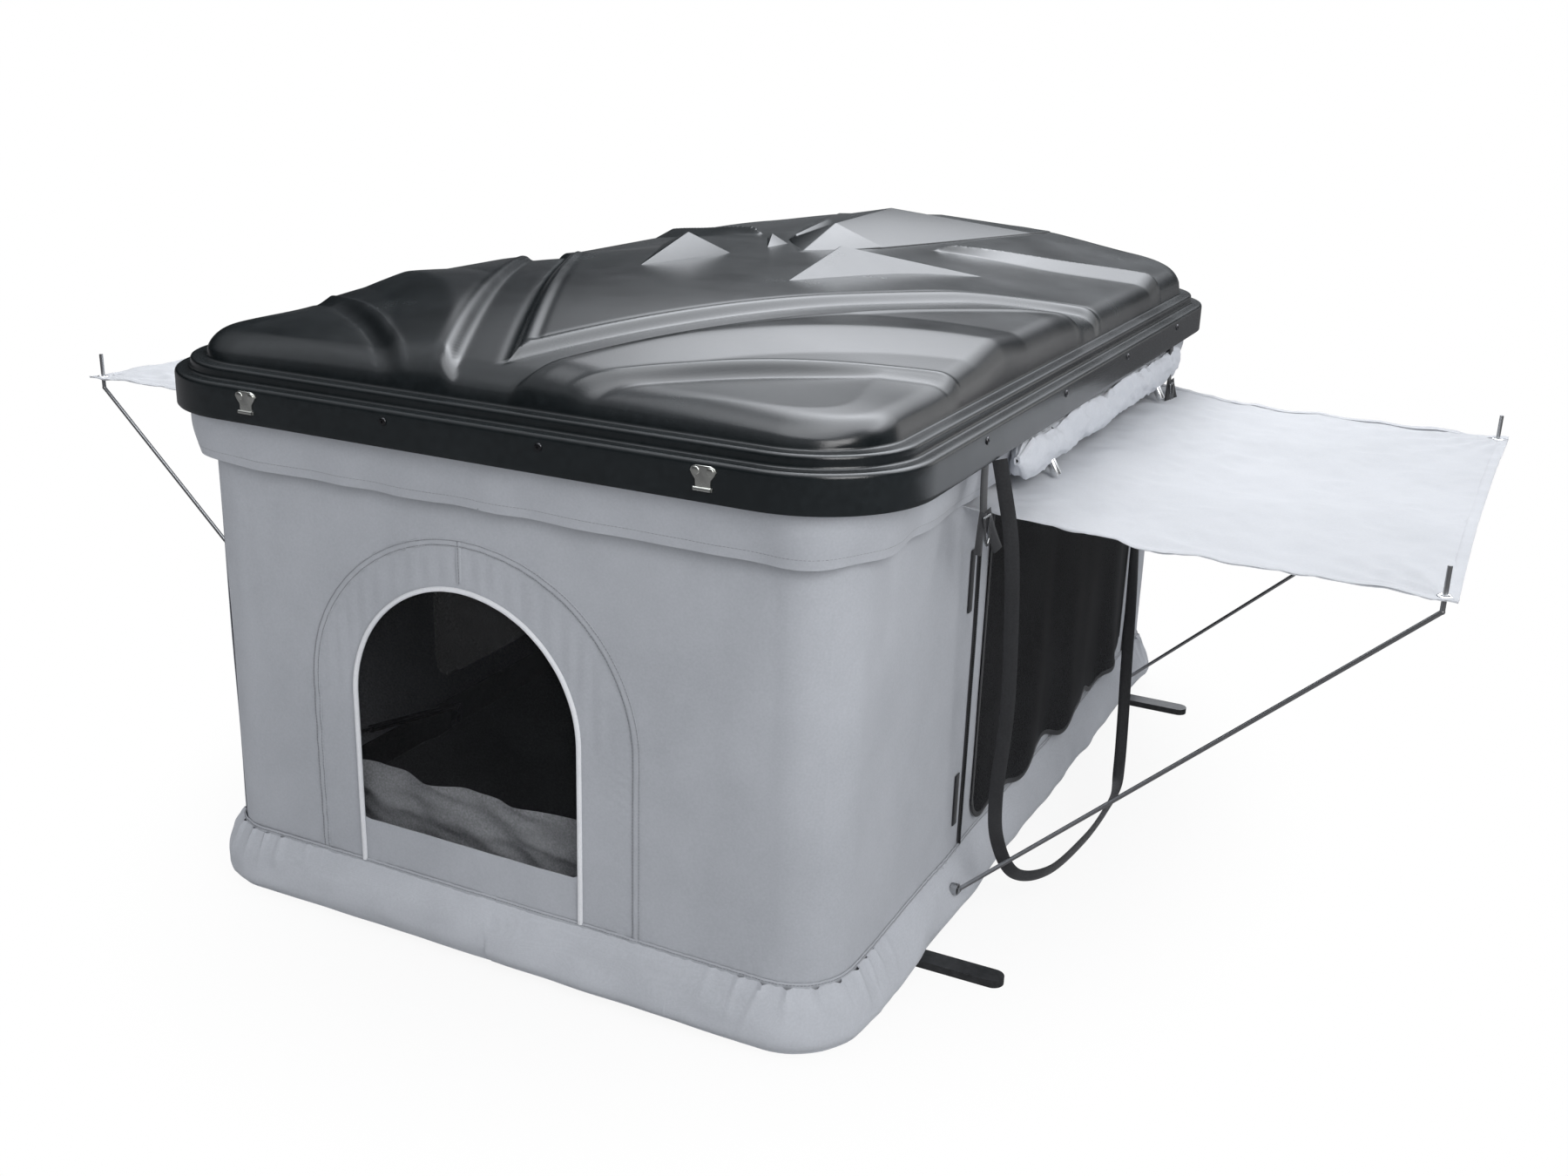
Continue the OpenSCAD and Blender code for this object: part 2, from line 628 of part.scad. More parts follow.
// The skirt bulges out below the walls and is gathered in pleats at the corners
module skirt() {
  nc = 12;
  path = ring(wall_x, wall_y, wall_r, nc, 8, 14);
  n = len(path);
  prof = [[0, skirt_top], [0.55, mid(skirt_top, skirt_hem, 0.14)], [0.92, mid(skirt_top, skirt_hem, 0.34)],
    [1, mid(skirt_top, skirt_hem, 0.55)], [0.9, mid(skirt_top, skirt_hem, 0.78)], [0.62, skirt_hem]];
  turn = function (p) abs(p[2] * p[3]) < eps ? 0 : cos(720 * atan2(abs(p[3]), abs(p[2])) / 90);
  outer = [for (s = prof) for (p = path) let (o = s[0] * (skirt_out - 4 * (1 - turn(p)) * sign(abs(p[2] * p[3]))))
    [p[0] + (o + canvas_t) * p[2], p[1] + (o + canvas_t) * p[3], s[1]]];
  inner = [for (k = [len(prof) - 1 : -1 : 0]) let (s = prof[k]) for (p = path)
    let (o = s[0] * (skirt_out - 4 * (1 - turn(p)) * sign(abs(p[2] * p[3]))))
    [p[0] + o * p[2], p[1] + o * p[3], s[1]]];
  m = 2 * len(prof);
  faces = [for (f = band(m + 1, n, 0, false)) [for (v = f) v % (m * n)]];
  color("#a3a8ad") difference() {
    polyhedron(concat(outer, inner), faces);
    mirror_x() for (y = [awn_front + eyelet_in, awn_rear - eyelet_in]) translate([wall_x, y, socket_z])
      rotate([0, 90, 0]) cylinder(r = socket_r + soft_gap, h = 2 * skirt_out);
  }
}

// An awning: a thin sheet that falls from its root on the wall and sags between its rods
function awn_point(u, v, top) = let (x = mid(wall_x + soft_gap, awn_out, u), y = mid(awn_front, awn_rear, v),
  fall = awn_root_z + (awn_z - awn_root_z) * ramp(min(1, u * 2.2)),
  sag = awn_sag * 4 * v * (1 - v) * sin(180 * u), fold = 4 * sin(900 * v) * sin(180 * u) * (1 - u))
  [x, y, fall - sag + fold + (top ? awn_t : 0)];

module awning() {
  nu = 14;
  nv = 20;
  w = nv + 1;
  pts = concat([for (i = [0 : nu], j = [0 : nv]) awn_point(i / nu, j / nv, false)],
    [for (i = [0 : nu], j = [0 : nv]) awn_point(i / nu, j / nv, true)]);
  b = (nu + 1) * w;
  sheet = [for (i = [0 : nu - 1], j = [0 : nv - 1]) let (p = i * w + j) [p, p + 1, p + w + 1, p + w]];
  rim = concat([for (j = [0 : nv]) j], [for (i = [1 : nu]) i * w + nv], [for (j = [nv - 1 : -1 : 0]) nu * w + j],
    [for (i = [nu - 1 : -1 : 1]) i * w]);
  m = len(rim);
  faces = concat(
    [for (q = sheet) each [[q[0], q[2], q[1]], [q[0], q[3], q[2]]]],
    [for (q = sheet) each [[b + q[0], b + q[1], b + q[2]], [b + q[0], b + q[2], b + q[3]]]],
    [for (i = [0 : m - 1]) let (p = rim[i], q = rim[(i + 1) % m]) each [[p, q, b + q], [p, b + q, b + p]]]);
  color("#e6e9ee") difference() {
    polyhedron(pts, [for (f = faces) [f[2], f[1], f[0]]]);
    for (y = [awn_front + eyelet_in, awn_rear - eyelet_in])
      translate([hook_x, y, awn_z - 40]) cylinder(r = eyelet_r, h = 80);
  }
}

module awning_right() {
  awning();
}

module awning_left() {
  mirror([1, 0, 0]) awning();
}

module socket(y) {
  translate([socket_x - socket_l, y, socket_z]) rotate([0, 90, 0]) difference() {
    cylinder(r = socket_r, h = socket_l);
    translate([0, 0, -1]) cylinder(r = norm([eye_r, eye_b / 2]) + eye_gap, h = socket_l + 2);
  }
}

module rod_sockets() {
  color("#d9dcdf") mirror_x() for (y = [awn_front + eyelet_in, awn_rear - eyelet_in]) socket(y);
}

module prop_rod(y) {
  color("#8d9093") {
    translate([socket_x, y, socket_z]) {
      rotate([90, 0, 0]) cylinder(r = eye_r, h = eye_b, center = true);
      rotate([0, 90 - rod_tilt, 0]) cylinder(r = rod_r, h = rod_len);
    }
    translate([rod_bend[0], y, rod_bend[1]]) {
      sphere(rod_r + 0.5);
      cylinder(r = rod_r, h = awn_z + hook_up - rod_bend[1]);
    }
  }
}

module prop_rod_fr() {
  prop_rod(awn_front + eyelet_in);
}

module prop_rod_rr() {
  prop_rod(awn_rear - eyelet_in);
}

module prop_rod_fl() {
  mirror([1, 0, 0]) prop_rod(awn_front + eyelet_in);
}

module prop_rod_rl() {
  mirror([1, 0, 0]) prop_rod(awn_rear - eyelet_in);
}

// A rolled-up door flap, drawn in at its two toggles
module door_roll() {
  y0 = door_front - 65;
  y1 = door_rear + 15;
  rows = 24;
  n = 12;
  mid_y = (y0 + y1) / 2;
  waist = function (y) 1 - 0.22 * exp(-pow((abs(y - mid_y) - toggle_y) / 45, 2));
  pts = concat([for (k = [0 : rows], i = [0 : n - 1]) let (y = mid(y0, y1, k / rows), a = 360 * i / n,
    r = roll_r * waist(y) * (1 - 0.06 * cos(3 * a + 40 * k)) * (k == 0 || k == rows ? 0.7 : 0.94))
    [roll_x + r * cos(a) * 0.8, y, roll_z + r * sin(a) * 1.3]], [[roll_x, y0, roll_z], [roll_x, y1, roll_z]]);
  b = (rows + 1) * n;
  color("#c4c9cf") polyhedron(pts, concat(band(rows + 1, n, 0, false),
    [for (i = [0 : n - 1]) [b, (i + 1) % n, i]],
    [for (i = [0 : n - 1]) [b + 1, rows * n + i, rows * n + (i + 1) % n]]));
}

module roll_right() {
  door_roll();
}

module roll_left() {
  mirror([1, 0, 0]) door_roll();
}

module roll_toggles() {
  mid_y = (door_front + door_rear) / 2 - 25;
  color("#5b5f63") mirror_x() for (s = [-1, 1])
    translate([roll_x, mid_y + s * toggle_y, roll_z - toggle_drop]) rotate([0, 70, 0])
      cylinder(r = 5, h = 42, center = true);
}

// Lift: arms and plates of one side, mirrored to the other
module flat_bar(p, q, t) {
  d = q - p;
  translate([0, p[0], p[1]]) rotate([atan2(d[1], d[0]), 0, 0]) translate([-t / 2, 0, 0]) {
    translate([0, 0, -arm_b / 2]) cube([t, norm(d), arm_b]);
    for (y = [0, norm(d)]) translate([0, y, 0]) rotate([0, 90, 0]) cylinder(d = arm_b, h = t);
  }
}

module cross_pin(p, x0, x1, r) {
  translate([min(x0, x1), p[0], p[1]]) rotate([0, 90, 0]) cylinder(r = r, h = abs(x1 - x0));
}

arm_foot = [-pivot_y, pivot_z];
arm_knee = [-pivot_y + arm_l * cos(arm_open), pivot_z + arm_l * sin(arm_open)];
arm_head = [-pivot_y, pivot_top];
head_t = 2;

module lower_arm() {
  color("#7d8184") {
    difference() {
      translate([low_x, 0, 0]) flat_bar(arm_foot, arm_knee, arm_t);
      cross_pin(arm_foot, low_x - arm_t, low_x + arm_t, pin_r + pin_gap);
    }
    cross_pin(arm_knee, low_x, up_x - arm_t / 2 - side_gap / 2, pin_r);
    cross_pin(arm_knee, up_x - arm_t / 2 - side_gap / 2, up_x - arm_t / 2 - side_gap / 2 - head_t, pin_r + 3);
  }
}

module upper_arm() {
  color("#8e9295") difference() {
    translate([up_x, 0, 0]) flat_bar(arm_knee, arm_head, arm_t);
    for (p = [arm_knee, arm_head]) cross_pin(p, up_x - arm_t, up_x + arm_t, pin_r + pin_gap);
  }
}

module lower_arm_fr() {
  lower_arm();
}

module lower_arm_fl() {
  mirror([1, 0, 0]) lower_arm();
}

module lower_arm_rr() {
  mirror([0, 1, 0]) lower_arm();
}

module lower_arm_rl() {
  mirror([1, 0, 0]) mirror([0, 1, 0]) lower_arm();
}

module upper_arm_fr() {
  upper_arm();
}

module upper_arm_fl() {
  mirror([1, 0, 0]) upper_arm();
}

module upper_arm_rr() {
  mirror([0, 1, 0]) upper_arm();
}

module upper_arm_rl() {
  mirror([1, 0, 0]) mirror([0, 1, 0]) upper_arm();
}

module lower_brackets() {
  color("#5f6366") mirror_x() mirror_y() {
    translate([ear_low_x - plate_t / 2, -pivot_y - plate_l / 2, floor_z]) cube([plate_t, plate_l, plate_t]);
    translate([ear_low_x - plate_t / 2, -pivot_y - arm_b / 2, floor_z]) cube([plate_t, arm_b, pivot_z - floor_z]);
    cross_pin(arm_foot, ear_low_x - plate_t / 2, ear_low_x + plate_t / 2, arm_b / 2);
    cross_pin(arm_foot, ear_low_x, low_x - arm_t / 2 - side_gap / 2, pin_r);
    cross_pin(arm_foot, low_x - arm_t / 2 - side_gap / 2, low_x - arm_t / 2 - side_gap / 2 - head_t, pin_r + 3);
  }
}

module upper_brackets() {
  color("#5f6366") mirror_x() mirror_y() {
    translate([ear_up_x - plate_t / 2, -pivot_y - plate_l / 2, liner_z - plate_t]) cube([plate_t, plate_l, plate_t]);
    translate([ear_up_x - plate_t / 2, -pivot_y - arm_b / 2, pivot_top]) cube([plate_t, arm_b, liner_z - pivot_top]);
    cross_pin(arm_head, ear_up_x - plate_t / 2, ear_up_x + plate_t / 2, arm_b / 2);
    cross_pin(arm_head, ear_up_x, up_x + arm_t / 2 + side_gap / 2, pin_r);
    cross_pin(arm_head, up_x + arm_t / 2 + side_gap / 2, up_x + arm_t / 2 + side_gap / 2 + head_t, pin_r + 3);
  }
}

// Gas struts: the tube turns on a block on the floor, and the rod's end lies beside the arm
module strut_frame() {
  translate([strut_x, strut_base - pivot_y, strut_z]) rotate([-strut_tilt, 0, 0]) children();
}

module strut_blocks() {
  y = strut_base - pivot_y;
  w = tube_r;
  color("#5f6366") mirror_x() mirror_y() difference() {
    union() {
      translate([strut_x - w, y - w, floor_z]) cube([2 * w, 2 * w, strut_z - floor_z]);
      cross_pin([y, strut_z], strut_x - w, strut_x + w, w);
    }
    translate([strut_x - 3 - side_gap, y - 2 * w, strut_z - w - 6]) cube([6 + 2 * side_gap, 4 * w, 40]);
  }
  color("#5f6366") mirror_x() mirror_y()
    cross_pin([y, strut_z], strut_x - 3 - side_gap - eps, strut_x + 3 + side_gap + eps, 3);
}

module strut_tube() {
  color("#303336") strut_frame() difference() {
    union() {
      translate([-3, 0, 0]) rotate([0, 90, 0]) cylinder(r = tube_r - 1, h = 6);
      translate([-3, -tube_r - 8, -4]) cube([6, tube_r + 8, 8]);
      translate([0, -tube_r - 6, 0]) rotate([90, 0, 0]) cylinder(r = tube_r, h = tube_l - tube_r - 6);
    }
    translate([-10, 0, 0]) rotate([0, 90, 0]) cylinder(r = 3 + pin_gap, h = 20);
    translate([0, -tube_r - 20, 0]) rotate([90, 0, 0]) cylinder(r = strut_rod_r + pin_gap, h = tube_l);
  }
}

module strut_rod() {
  e = low_x + arm_t / 2 + 0.3 - strut_x;
  color("#b9bcbf") strut_frame() {
    translate([0, strut_in - tube_l, 0]) rotate([90, 0, 0])
      cylinder(r = strut_rod_r, h = strut_len - tube_l + strut_in - 4);
    translate([e, -strut_len, 0]) rotate([0, 90, 0]) cylinder(r = tube_r, h = strut_rod_r - e);
  }
}

module strut_tube_fr() {
  strut_tube();
}

module strut_tube_fl() {
  mirror([1, 0, 0]) strut_tube();
}

module strut_tube_rr() {
  mirror([0, 1, 0]) strut_tube();
}

module strut_tube_rl() {
  mirror([1, 0, 0]) mirror([0, 1, 0]) strut_tube();
}

module strut_rod_fr() {
  strut_rod();
}

module strut_rod_fl() {
  mirror([1, 0, 0]) strut_rod();
}

module strut_rod_rr() {
  mirror([0, 1, 0]) strut_rod();
}

module strut_rod_rl() {
  mirror([1, 0, 0]) mirror([0, 1, 0]) strut_rod();
}

// Pull strap: a flat webbing loop that faces the tent's front corner and turns flat to the wall at its far end
module pull_strap() {
  n = len(strap_route);
  dir = function (i) let (d = strap_route[min(i + 1, n - 1)] - strap_route[max(i - 1, 0)]) d / norm(d);
  flat = function (i) let (d = dir(i), f = cross([0.43, -0.9, 0], d), w = cross([1, 0, 0], d),
    c = mid(f / norm(f), w / norm(w), ramp((i - n + 5) / 3))) c / norm(c);
  thick = function (i) cross(dir(i), flat(i));
  pts = [for (i = [0 : n - 1], k = [[-1, -1], [1, -1], [1, 1], [-1, 1]])
    strap_route[i] + flat(i) * k[0] * strap_b / 2 + thick(i) * k[1] * strap_t / 2];
  color("#141517") polyhedron(pts, concat(band(n, 4, 0, true), [[0, 1, 2], [0, 2, 3]],
    [[4 * n - 1, 4 * n - 2, 4 * n - 3], [4 * n - 1, 4 * n - 3, 4 * n - 4]]));
}

// Short straps under the rim at the awning's ends, each with a wire hook
module hook_straps() {
  for (y = [awn_front - hook_strap_y, awn_rear - hook_strap_y]) translate([rim_w / 2 - strap_t, y, rim_z]) {
    color("#141517") translate([0, -hook_strap_b / 2, -hook_strap_l]) cube([strap_t, hook_strap_b, hook_strap_l]);
    color("#9ea2a6") translate([strap_t / 2, 0, -hook_strap_l - 14]) rotate([90, 0, 90]) rotate_extrude()
      translate([14, 0]) circle(hook_r);
  }
}

mount_rail_front();
mount_rail_rear();
base_tray();
floor_board();
mattress();
lower_brackets();
strut_blocks();
rod_sockets();
skirt();
wall_front();
wall_rear();
wall_left();
wall_right();
mesh_front();
mesh_rear();
mesh_left();
mesh_right();
piping_front();
piping_rear();
lower_arm_fr();
lower_arm_fl();
lower_arm_rr();
lower_arm_rl();
upper_arm_fr();
upper_arm_fl();
upper_arm_rr();
upper_arm_rl();
strut_tube_fr();
strut_tube_fl();
strut_tube_rr();
strut_tube_rl();
strut_rod_fr();
strut_rod_fl();
strut_rod_rr();
strut_rod_rl();
top_shell();
shell_liner();
shell_frame();
rim_seal();
rim_screws();
latch_keepers();
upper_brackets();
valance();
roll_right();
roll_left();
roll_toggles();
awning_right();
awning_left();
prop_rod_fr();
prop_rod_fl();
prop_rod_rr();
prop_rod_rl();
pull_strap();
hook_straps();
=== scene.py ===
from math import atan2, copysign, cos, exp, hypot, log1p, pi, radians, sin, sqrt
import bmesh
import bpy
from mathutils import Matrix, Vector, noise


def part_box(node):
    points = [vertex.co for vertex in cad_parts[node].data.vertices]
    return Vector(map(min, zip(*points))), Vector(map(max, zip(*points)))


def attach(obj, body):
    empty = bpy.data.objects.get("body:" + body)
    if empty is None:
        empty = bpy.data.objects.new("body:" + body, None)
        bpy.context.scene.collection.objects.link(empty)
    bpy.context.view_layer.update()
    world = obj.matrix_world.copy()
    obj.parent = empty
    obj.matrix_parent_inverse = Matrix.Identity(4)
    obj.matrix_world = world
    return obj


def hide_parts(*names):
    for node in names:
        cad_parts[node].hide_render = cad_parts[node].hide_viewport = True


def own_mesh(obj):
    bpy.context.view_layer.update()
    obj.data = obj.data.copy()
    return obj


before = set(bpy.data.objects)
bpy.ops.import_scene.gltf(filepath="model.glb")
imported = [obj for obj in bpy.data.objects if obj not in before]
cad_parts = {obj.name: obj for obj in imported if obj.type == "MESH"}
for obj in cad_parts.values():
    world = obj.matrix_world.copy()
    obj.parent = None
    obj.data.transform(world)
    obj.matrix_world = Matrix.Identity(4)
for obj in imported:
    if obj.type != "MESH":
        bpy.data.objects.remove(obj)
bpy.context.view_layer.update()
scene = bpy.context.scene
scene.view_settings.view_transform = "Standard"

# VIEW
# The camera stands in front of the tent's right-hand corner, a little above the roof,
# and leans slightly to one side. Its lens is given in pixels of an 1800 pixel wide frame.
frame_px = 1800
focal_px = 1860.8
stand_at = Vector((1.491, -2.998, 1.556))
turn, tilt, lean = 0.447, 0.3315, 0.035
ahead = Vector((-sin(turn) * cos(tilt), cos(turn) * cos(tilt), -sin(tilt)))
level = Vector((cos(turn), sin(turn), 0.0))
upward = level.cross(ahead)
right = level * cos(lean) + upward * sin(lean)
upward = upward * cos(lean) - level * sin(lean)
camera = bpy.data.objects.new("camera", bpy.data.cameras.new("camera"))
camera.data.sensor_width = 36.0
camera.data.lens = 36.0 * focal_px / frame_px
camera.data.clip_end = 200.0
camera.matrix_world = Matrix.Translation(stand_at) @ Matrix((right, upward, -ahead)).transposed().to_4x4()
scene.collection.objects.link(camera)
scene.camera = camera

# STUDIO
# A white paper floor that fades into a white room, a soft box above, a softer one to the front
# right and weak fills. Glossy parts mirror a room that brightens overhead and behind the tent.
floor_bm = bmesh.new()
bmesh.ops.create_grid(floor_bm, x_segments=8, y_segments=8, size=60.0)
floor_mesh = bpy.data.meshes.new("floor")
floor_bm.to_mesh(floor_mesh)
floor_bm.free()
floor = bpy.data.objects.new("floor", floor_mesh)
scene.collection.objects.link(floor)


def node(tree, kind, links=(), **settings):
    """A shader node of that kind; links are pairs of an input and its value, node or output."""
    made = tree.nodes.new("ShaderNode" + kind)
    for key, value in settings.items():
        setattr(made, key, value)
    for socket, value in links:
        value = value.outputs[0] if isinstance(value, bpy.types.Node) else value
        if isinstance(value, bpy.types.NodeSocket):
            tree.links.new(value, made.inputs[socket])
        else:
            made.inputs[socket].default_value = value
    return made


def sums(tree, operation, *values, kind="Math"):
    """A sum of those values, nodes or outputs."""
    return node(tree, kind, enumerate(values), operation=operation)


def ranged(tree, value, low, high, least=0.0, most=1.0, **how):
    """Moves a value from the range low to high into the range least to most."""
    names = ("Value", "From Min", "From Max", "To Min", "To Max")
    return node(tree, "MapRange", zip(names, (value, low, high, least, most)), **how)


def tones(tree, share, first, second):
    """A colour that share of the way from the first to the second."""
    return node(tree, "Mix", [(0, share), (6, first), (7, second)], data_type="RGBA").outputs[2]


paper = bpy.data.materials.new("floor_paper")
paper.use_nodes = True
tree = paper.node_tree
matt = tree.nodes["Principled BSDF"]
matt.inputs["Base Color"].default_value = (0.82, 0.82, 0.82, 1)
matt.inputs["Roughness"].default_value = 0.9
matt.inputs["Specular IOR Level"].default_value = 0.1
spot = node(tree, "TexCoord").outputs["Object"]
oval = sums(tree, "MULTIPLY", spot, (0.8, 0.62, 0.0), kind="VectorMath")
reach = sums(tree, "LENGTH", oval, kind="VectorMath").outputs["Value"]
fade = ranged(tree, reach, 0.55, 1.0, 0.90, 1.0, interpolation_type="SMOOTHSTEP")
ray = node(tree, "LightPath").outputs
seen = sums(tree, "MAXIMUM", ray["Is Camera Ray"], ray["Is Transmission Ray"])
glow = node(tree, "Emission", [("Color", (1, 1, 1, 1)), ("Strength", 1.0)])
both = node(tree, "MixShader", [(0, sums(tree, "MULTIPLY", fade, seen)), (1, matt), (2, glow)])
dim = node(tree, "Emission", [("Color", (0.2, 0.2, 0.21, 1)), ("Strength", 1.0)])
mirrored = node(tree, "MixShader", [(0, ray["Is Glossy Ray"]), (1, both), (2, dim)])
tree.links.new(mirrored.outputs[0], tree.nodes["Material Output"].inputs["Surface"])
floor.data.materials.append(paper)

room = bpy.data.worlds.new("room")
scene.world = room
room.use_nodes = True
tree = room.node_tree
sky = node(tree, "TexCoord").outputs["Generated"]
height = node(tree, "SeparateXYZ", [(0, sky)]).outputs["Z"]
band = node(tree, "ValToRGB", [(0, height)])
marks = band.color_ramp.elements
for stop, shade in ((0.0, 0.30), (0.05, 0.12), (0.12, 0.05), (0.22, 0.07), (0.32, 0.50), (0.41, 2.0), (0.54, 2.9),
                    (0.68, 7.0), (0.86, 5.4)):
    mark = marks[0] if stop == 0 else marks.new(stop)
    mark.position, mark.color = stop, (shade * 0.96, shade * 0.985, shade * 1.035, 1)
marks[len(marks) - 1].color = (5.2, 5.3, 5.5, 1)
bearing = sums(tree, "MULTIPLY", sky, (1.0, 1.0, 0.0), kind="VectorMath")
bearing = sums(tree, "NORMALIZE", bearing, kind="VectorMath")
rearward = sums(tree, "DOT_PRODUCT", bearing, (0.30, 0.95, 0.0), kind="VectorMath").outputs["Value"]
behind = ranged(tree, rearward, 0.46, 0.80, 0.10, 1.0, interpolation_type="SMOOTHSTEP")
behind = sums(tree, "MAXIMUM", behind, ranged(tree, height, 0.80, 0.96, 0.0, 0.8))
band = node(tree, "VectorMath", [(0, band), ("Scale", behind)], operation="SCALE")
ray = node(tree, "LightPath").outputs
glance = sums(tree, "MAXIMUM", ray["Is Glossy Ray"], ray["Is Transmission Ray"])
tone = tones(tree, glance, (0.42, 0.43, 0.45, 1), band)
white = tones(tree, ray["Is Camera Ray"], tone, (1, 1, 1, 1))
tree.links.new(white, tree.nodes["Background"].inputs["Color"])


def soft_box(name, at, aim, wide, deep, watts, mirrored=True):
    """A rectangular lamp turned from one spot to another; mirrored says if glossy parts show it."""
    lamp = bpy.data.lights.new(name, "AREA")
    lamp.shape, lamp.size, lamp.size_y, lamp.energy = "RECTANGLE", wide, deep, watts
    holder = bpy.data.objects.new(name, lamp)
    holder.location = at
    holder.rotation_euler = (Vector(aim) - Vector(at)).to_track_quat("-Z", "Y").to_euler()
    holder.visible_glossy = mirrored
    scene.collection.objects.link(holder)


soft_box("box_above", (-0.6, 1.3, 3.2), (0.1, 0.1, 0.8), 2.6, 1.7, 88, False)
soft_box("box_far_right", (3.6, 4.8, 1.7), (0.7, 0.2, 0.95), 2.4, 2.2, 16)
soft_box("box_right", (3.3, -2.8, 2.9), (0.2, -0.4, 0.5), 2.2, 2.2, 98)
soft_box("box_left", (-3.0, -3.2, 2.4), (0.0, -0.6, 0.5), 2.0, 2.0, 17, False)

# MOUNTING RAILS
# Two powder-coated alloy channels bolted across under the tray; they clamp to roof bars.
# The coating has a fine pebbled skin.


def finish(name, colour, rough, metal=0.0):
    """A new finish; gives the material, its tree, its shader and its Object coordinates."""
    made = bpy.data.materials.new(name)
    made.use_nodes = True
    shader = made.node_tree.nodes["Principled BSDF"]
    shader.inputs["Base Color"].default_value = (*colour, 1)
    shader.inputs["Roughness"].default_value = rough
    shader.inputs["Metallic"].default_value = metal
    place = node(made.node_tree, "TexCoord").outputs["Object"]
    return made, made.node_tree, shader, place


def effect(name, asked, given):
    """An empty shader group with those named inputs and outputs."""
    group = bpy.data.node_groups.new(name, "ShaderNodeTree")
    for way, sockets in (("INPUT", asked), ("OUTPUT", given)):
        for label, kind in sockets:
            group.interface.new_socket(label, in_out=way, socket_type=kind)
    return group, group.nodes.new("NodeGroupInput").outputs, group.nodes.new("NodeGroupOutput").inputs


def skinned(group, relief, name, colour, rough, metal=0.0, **asked):
    """A finish that takes its colour, roughness and relief (depth, strength) from a shared effect."""
    made, tree, shader, place = finish(name, colour, rough, metal)
    skin = node(tree, "Group", node_tree=group)
    tree.links.new(place, skin.inputs["Place"])
    for key, value in asked.items():
        skin.inputs[key].default_value = value
    tree.links.new(skin.outputs["Colour"], shader.inputs["Base Color"])
    if "Roughness" in skin.outputs:
        tree.links.new(skin.outputs["Roughness"], shader.inputs["Roughness"])
    if relief:
        names = ("Height", "Distance", "Strength")
        bump = node(tree, "Bump", zip(names, (skin.outputs["Height"], *relief)))
        tree.links.new(bump.outputs[0], shader.inputs["Normal"])
    return made, tree, shader, skin


def clouds(tree, place, scale, detail, rough=0.5, twist=0.0):
    """Soft noise of that scale and detail."""
    names = ("Vector", "Scale", "Detail", "Roughness", "Distortion")
    return node(tree, "TexNoise", zip(names, (place, scale, detail, rough, twist)))


FLOAT, COLOUR, PLACE = "NodeSocketFloat", "NodeSocketColor", "NodeSocketVector"
grain, take, give = effect("moulded_grain",
                           [("Place", PLACE), ("Grain", FLOAT), ("Tone", COLOUR), ("Worn", COLOUR),
                            ("Smooth", FLOAT), ("Rough", FLOAT)],
                           [("Colour", COLOUR), ("Roughness", FLOAT), ("Height", FLOAT)])
pebbles = node(grain, "TexVoronoi", [("Vector", take["Place"]), ("Scale", take["Grain"])], feature="SMOOTH_F1")
cloud = clouds(grain, take["Place"], 5.0, 6.0, 0.62)
fine = clouds(grain, take["Place"], 90.0, 3.0)
patch = ranged(grain, sums(grain, "MULTIPLY_ADD", cloud, fine, 0.0), 0.14, 0.40)
grain.links.new(tones(grain, patch, take["Tone"], take["Worn"]), give["Colour"])
sheen = ranged(grain, cloud, 0.3, 0.7, take["Smooth"], take["Rough"])
grain.links.new(sheen.outputs[0], give["Roughness"])
grain.links.new(pebbles.outputs["Distance"], give["Height"])


def moulded(name, tone, worn, size, smooth, rough, depth, metal=0.0):
    """Moulded, coated or painted skin: pebbles of that size, two tones, two roughnesses."""
    return skinned(grain, (depth, 0.6), name, tone, rough, metal, Grain=1.0 / size, Tone=(*tone, 1),
                   Worn=(*worn, 1), Smooth=smooth, Rough=rough)[0]


def coat(material, *names):
    """Gives carried-over CAD nodes that finish."""
    for name in names:
        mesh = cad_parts[name].data
        mesh.shade_smooth()
        mesh.set_sharp_from_angle(angle=radians(38))
        mesh.materials.clear()
        mesh.materials.append(material)


coat(moulded("rail_black", (0.016, 0.017, 0.018), (0.035, 0.036, 0.038), 0.0016, 0.36, 0.52, 0.0002),
     "mount_rail_front", "mount_rail_rear")

# BASE TRAY AND FLOOR
# A vacuum-formed black tray carries a varnished plywood floor board. Most of both is
# hidden behind the skirt and under the mattress.
coat(moulded("tray_plastic", (0.022, 0.023, 0.025), (0.045, 0.047, 0.05), 0.0022, 0.42, 0.6, 0.0003), "base_tray")
plywood, tree, shader, place = finish("floor_wood", (0.42, 0.29, 0.17), 0.45)
along = node(tree, "Mapping", [("Vector", place), ("Scale", (9.0, 0.7, 9.0))])
figure = clouds(tree, along, 6.0, 8.0, twist=0.6)
ramp = node(tree, "ValToRGB", [(0, figure)])
wood_marks = ((0.32, (0.24, 0.15, 0.08, 1)), (0.7, (0.47, 0.33, 0.2, 1)))
for mark, (stop, shade) in zip(ramp.color_ramp.elements, wood_marks):
    mark.position, mark.color = stop, shade
tree.links.new(ramp.outputs[0], shader.inputs["Base Color"])
bump = node(tree, "Bump", [("Height", figure), ("Distance", 0.0006), ("Strength", 0.5)])
tree.links.new(bump.outputs[0], shader.inputs["Normal"])
coat(plywood, "floor_board")

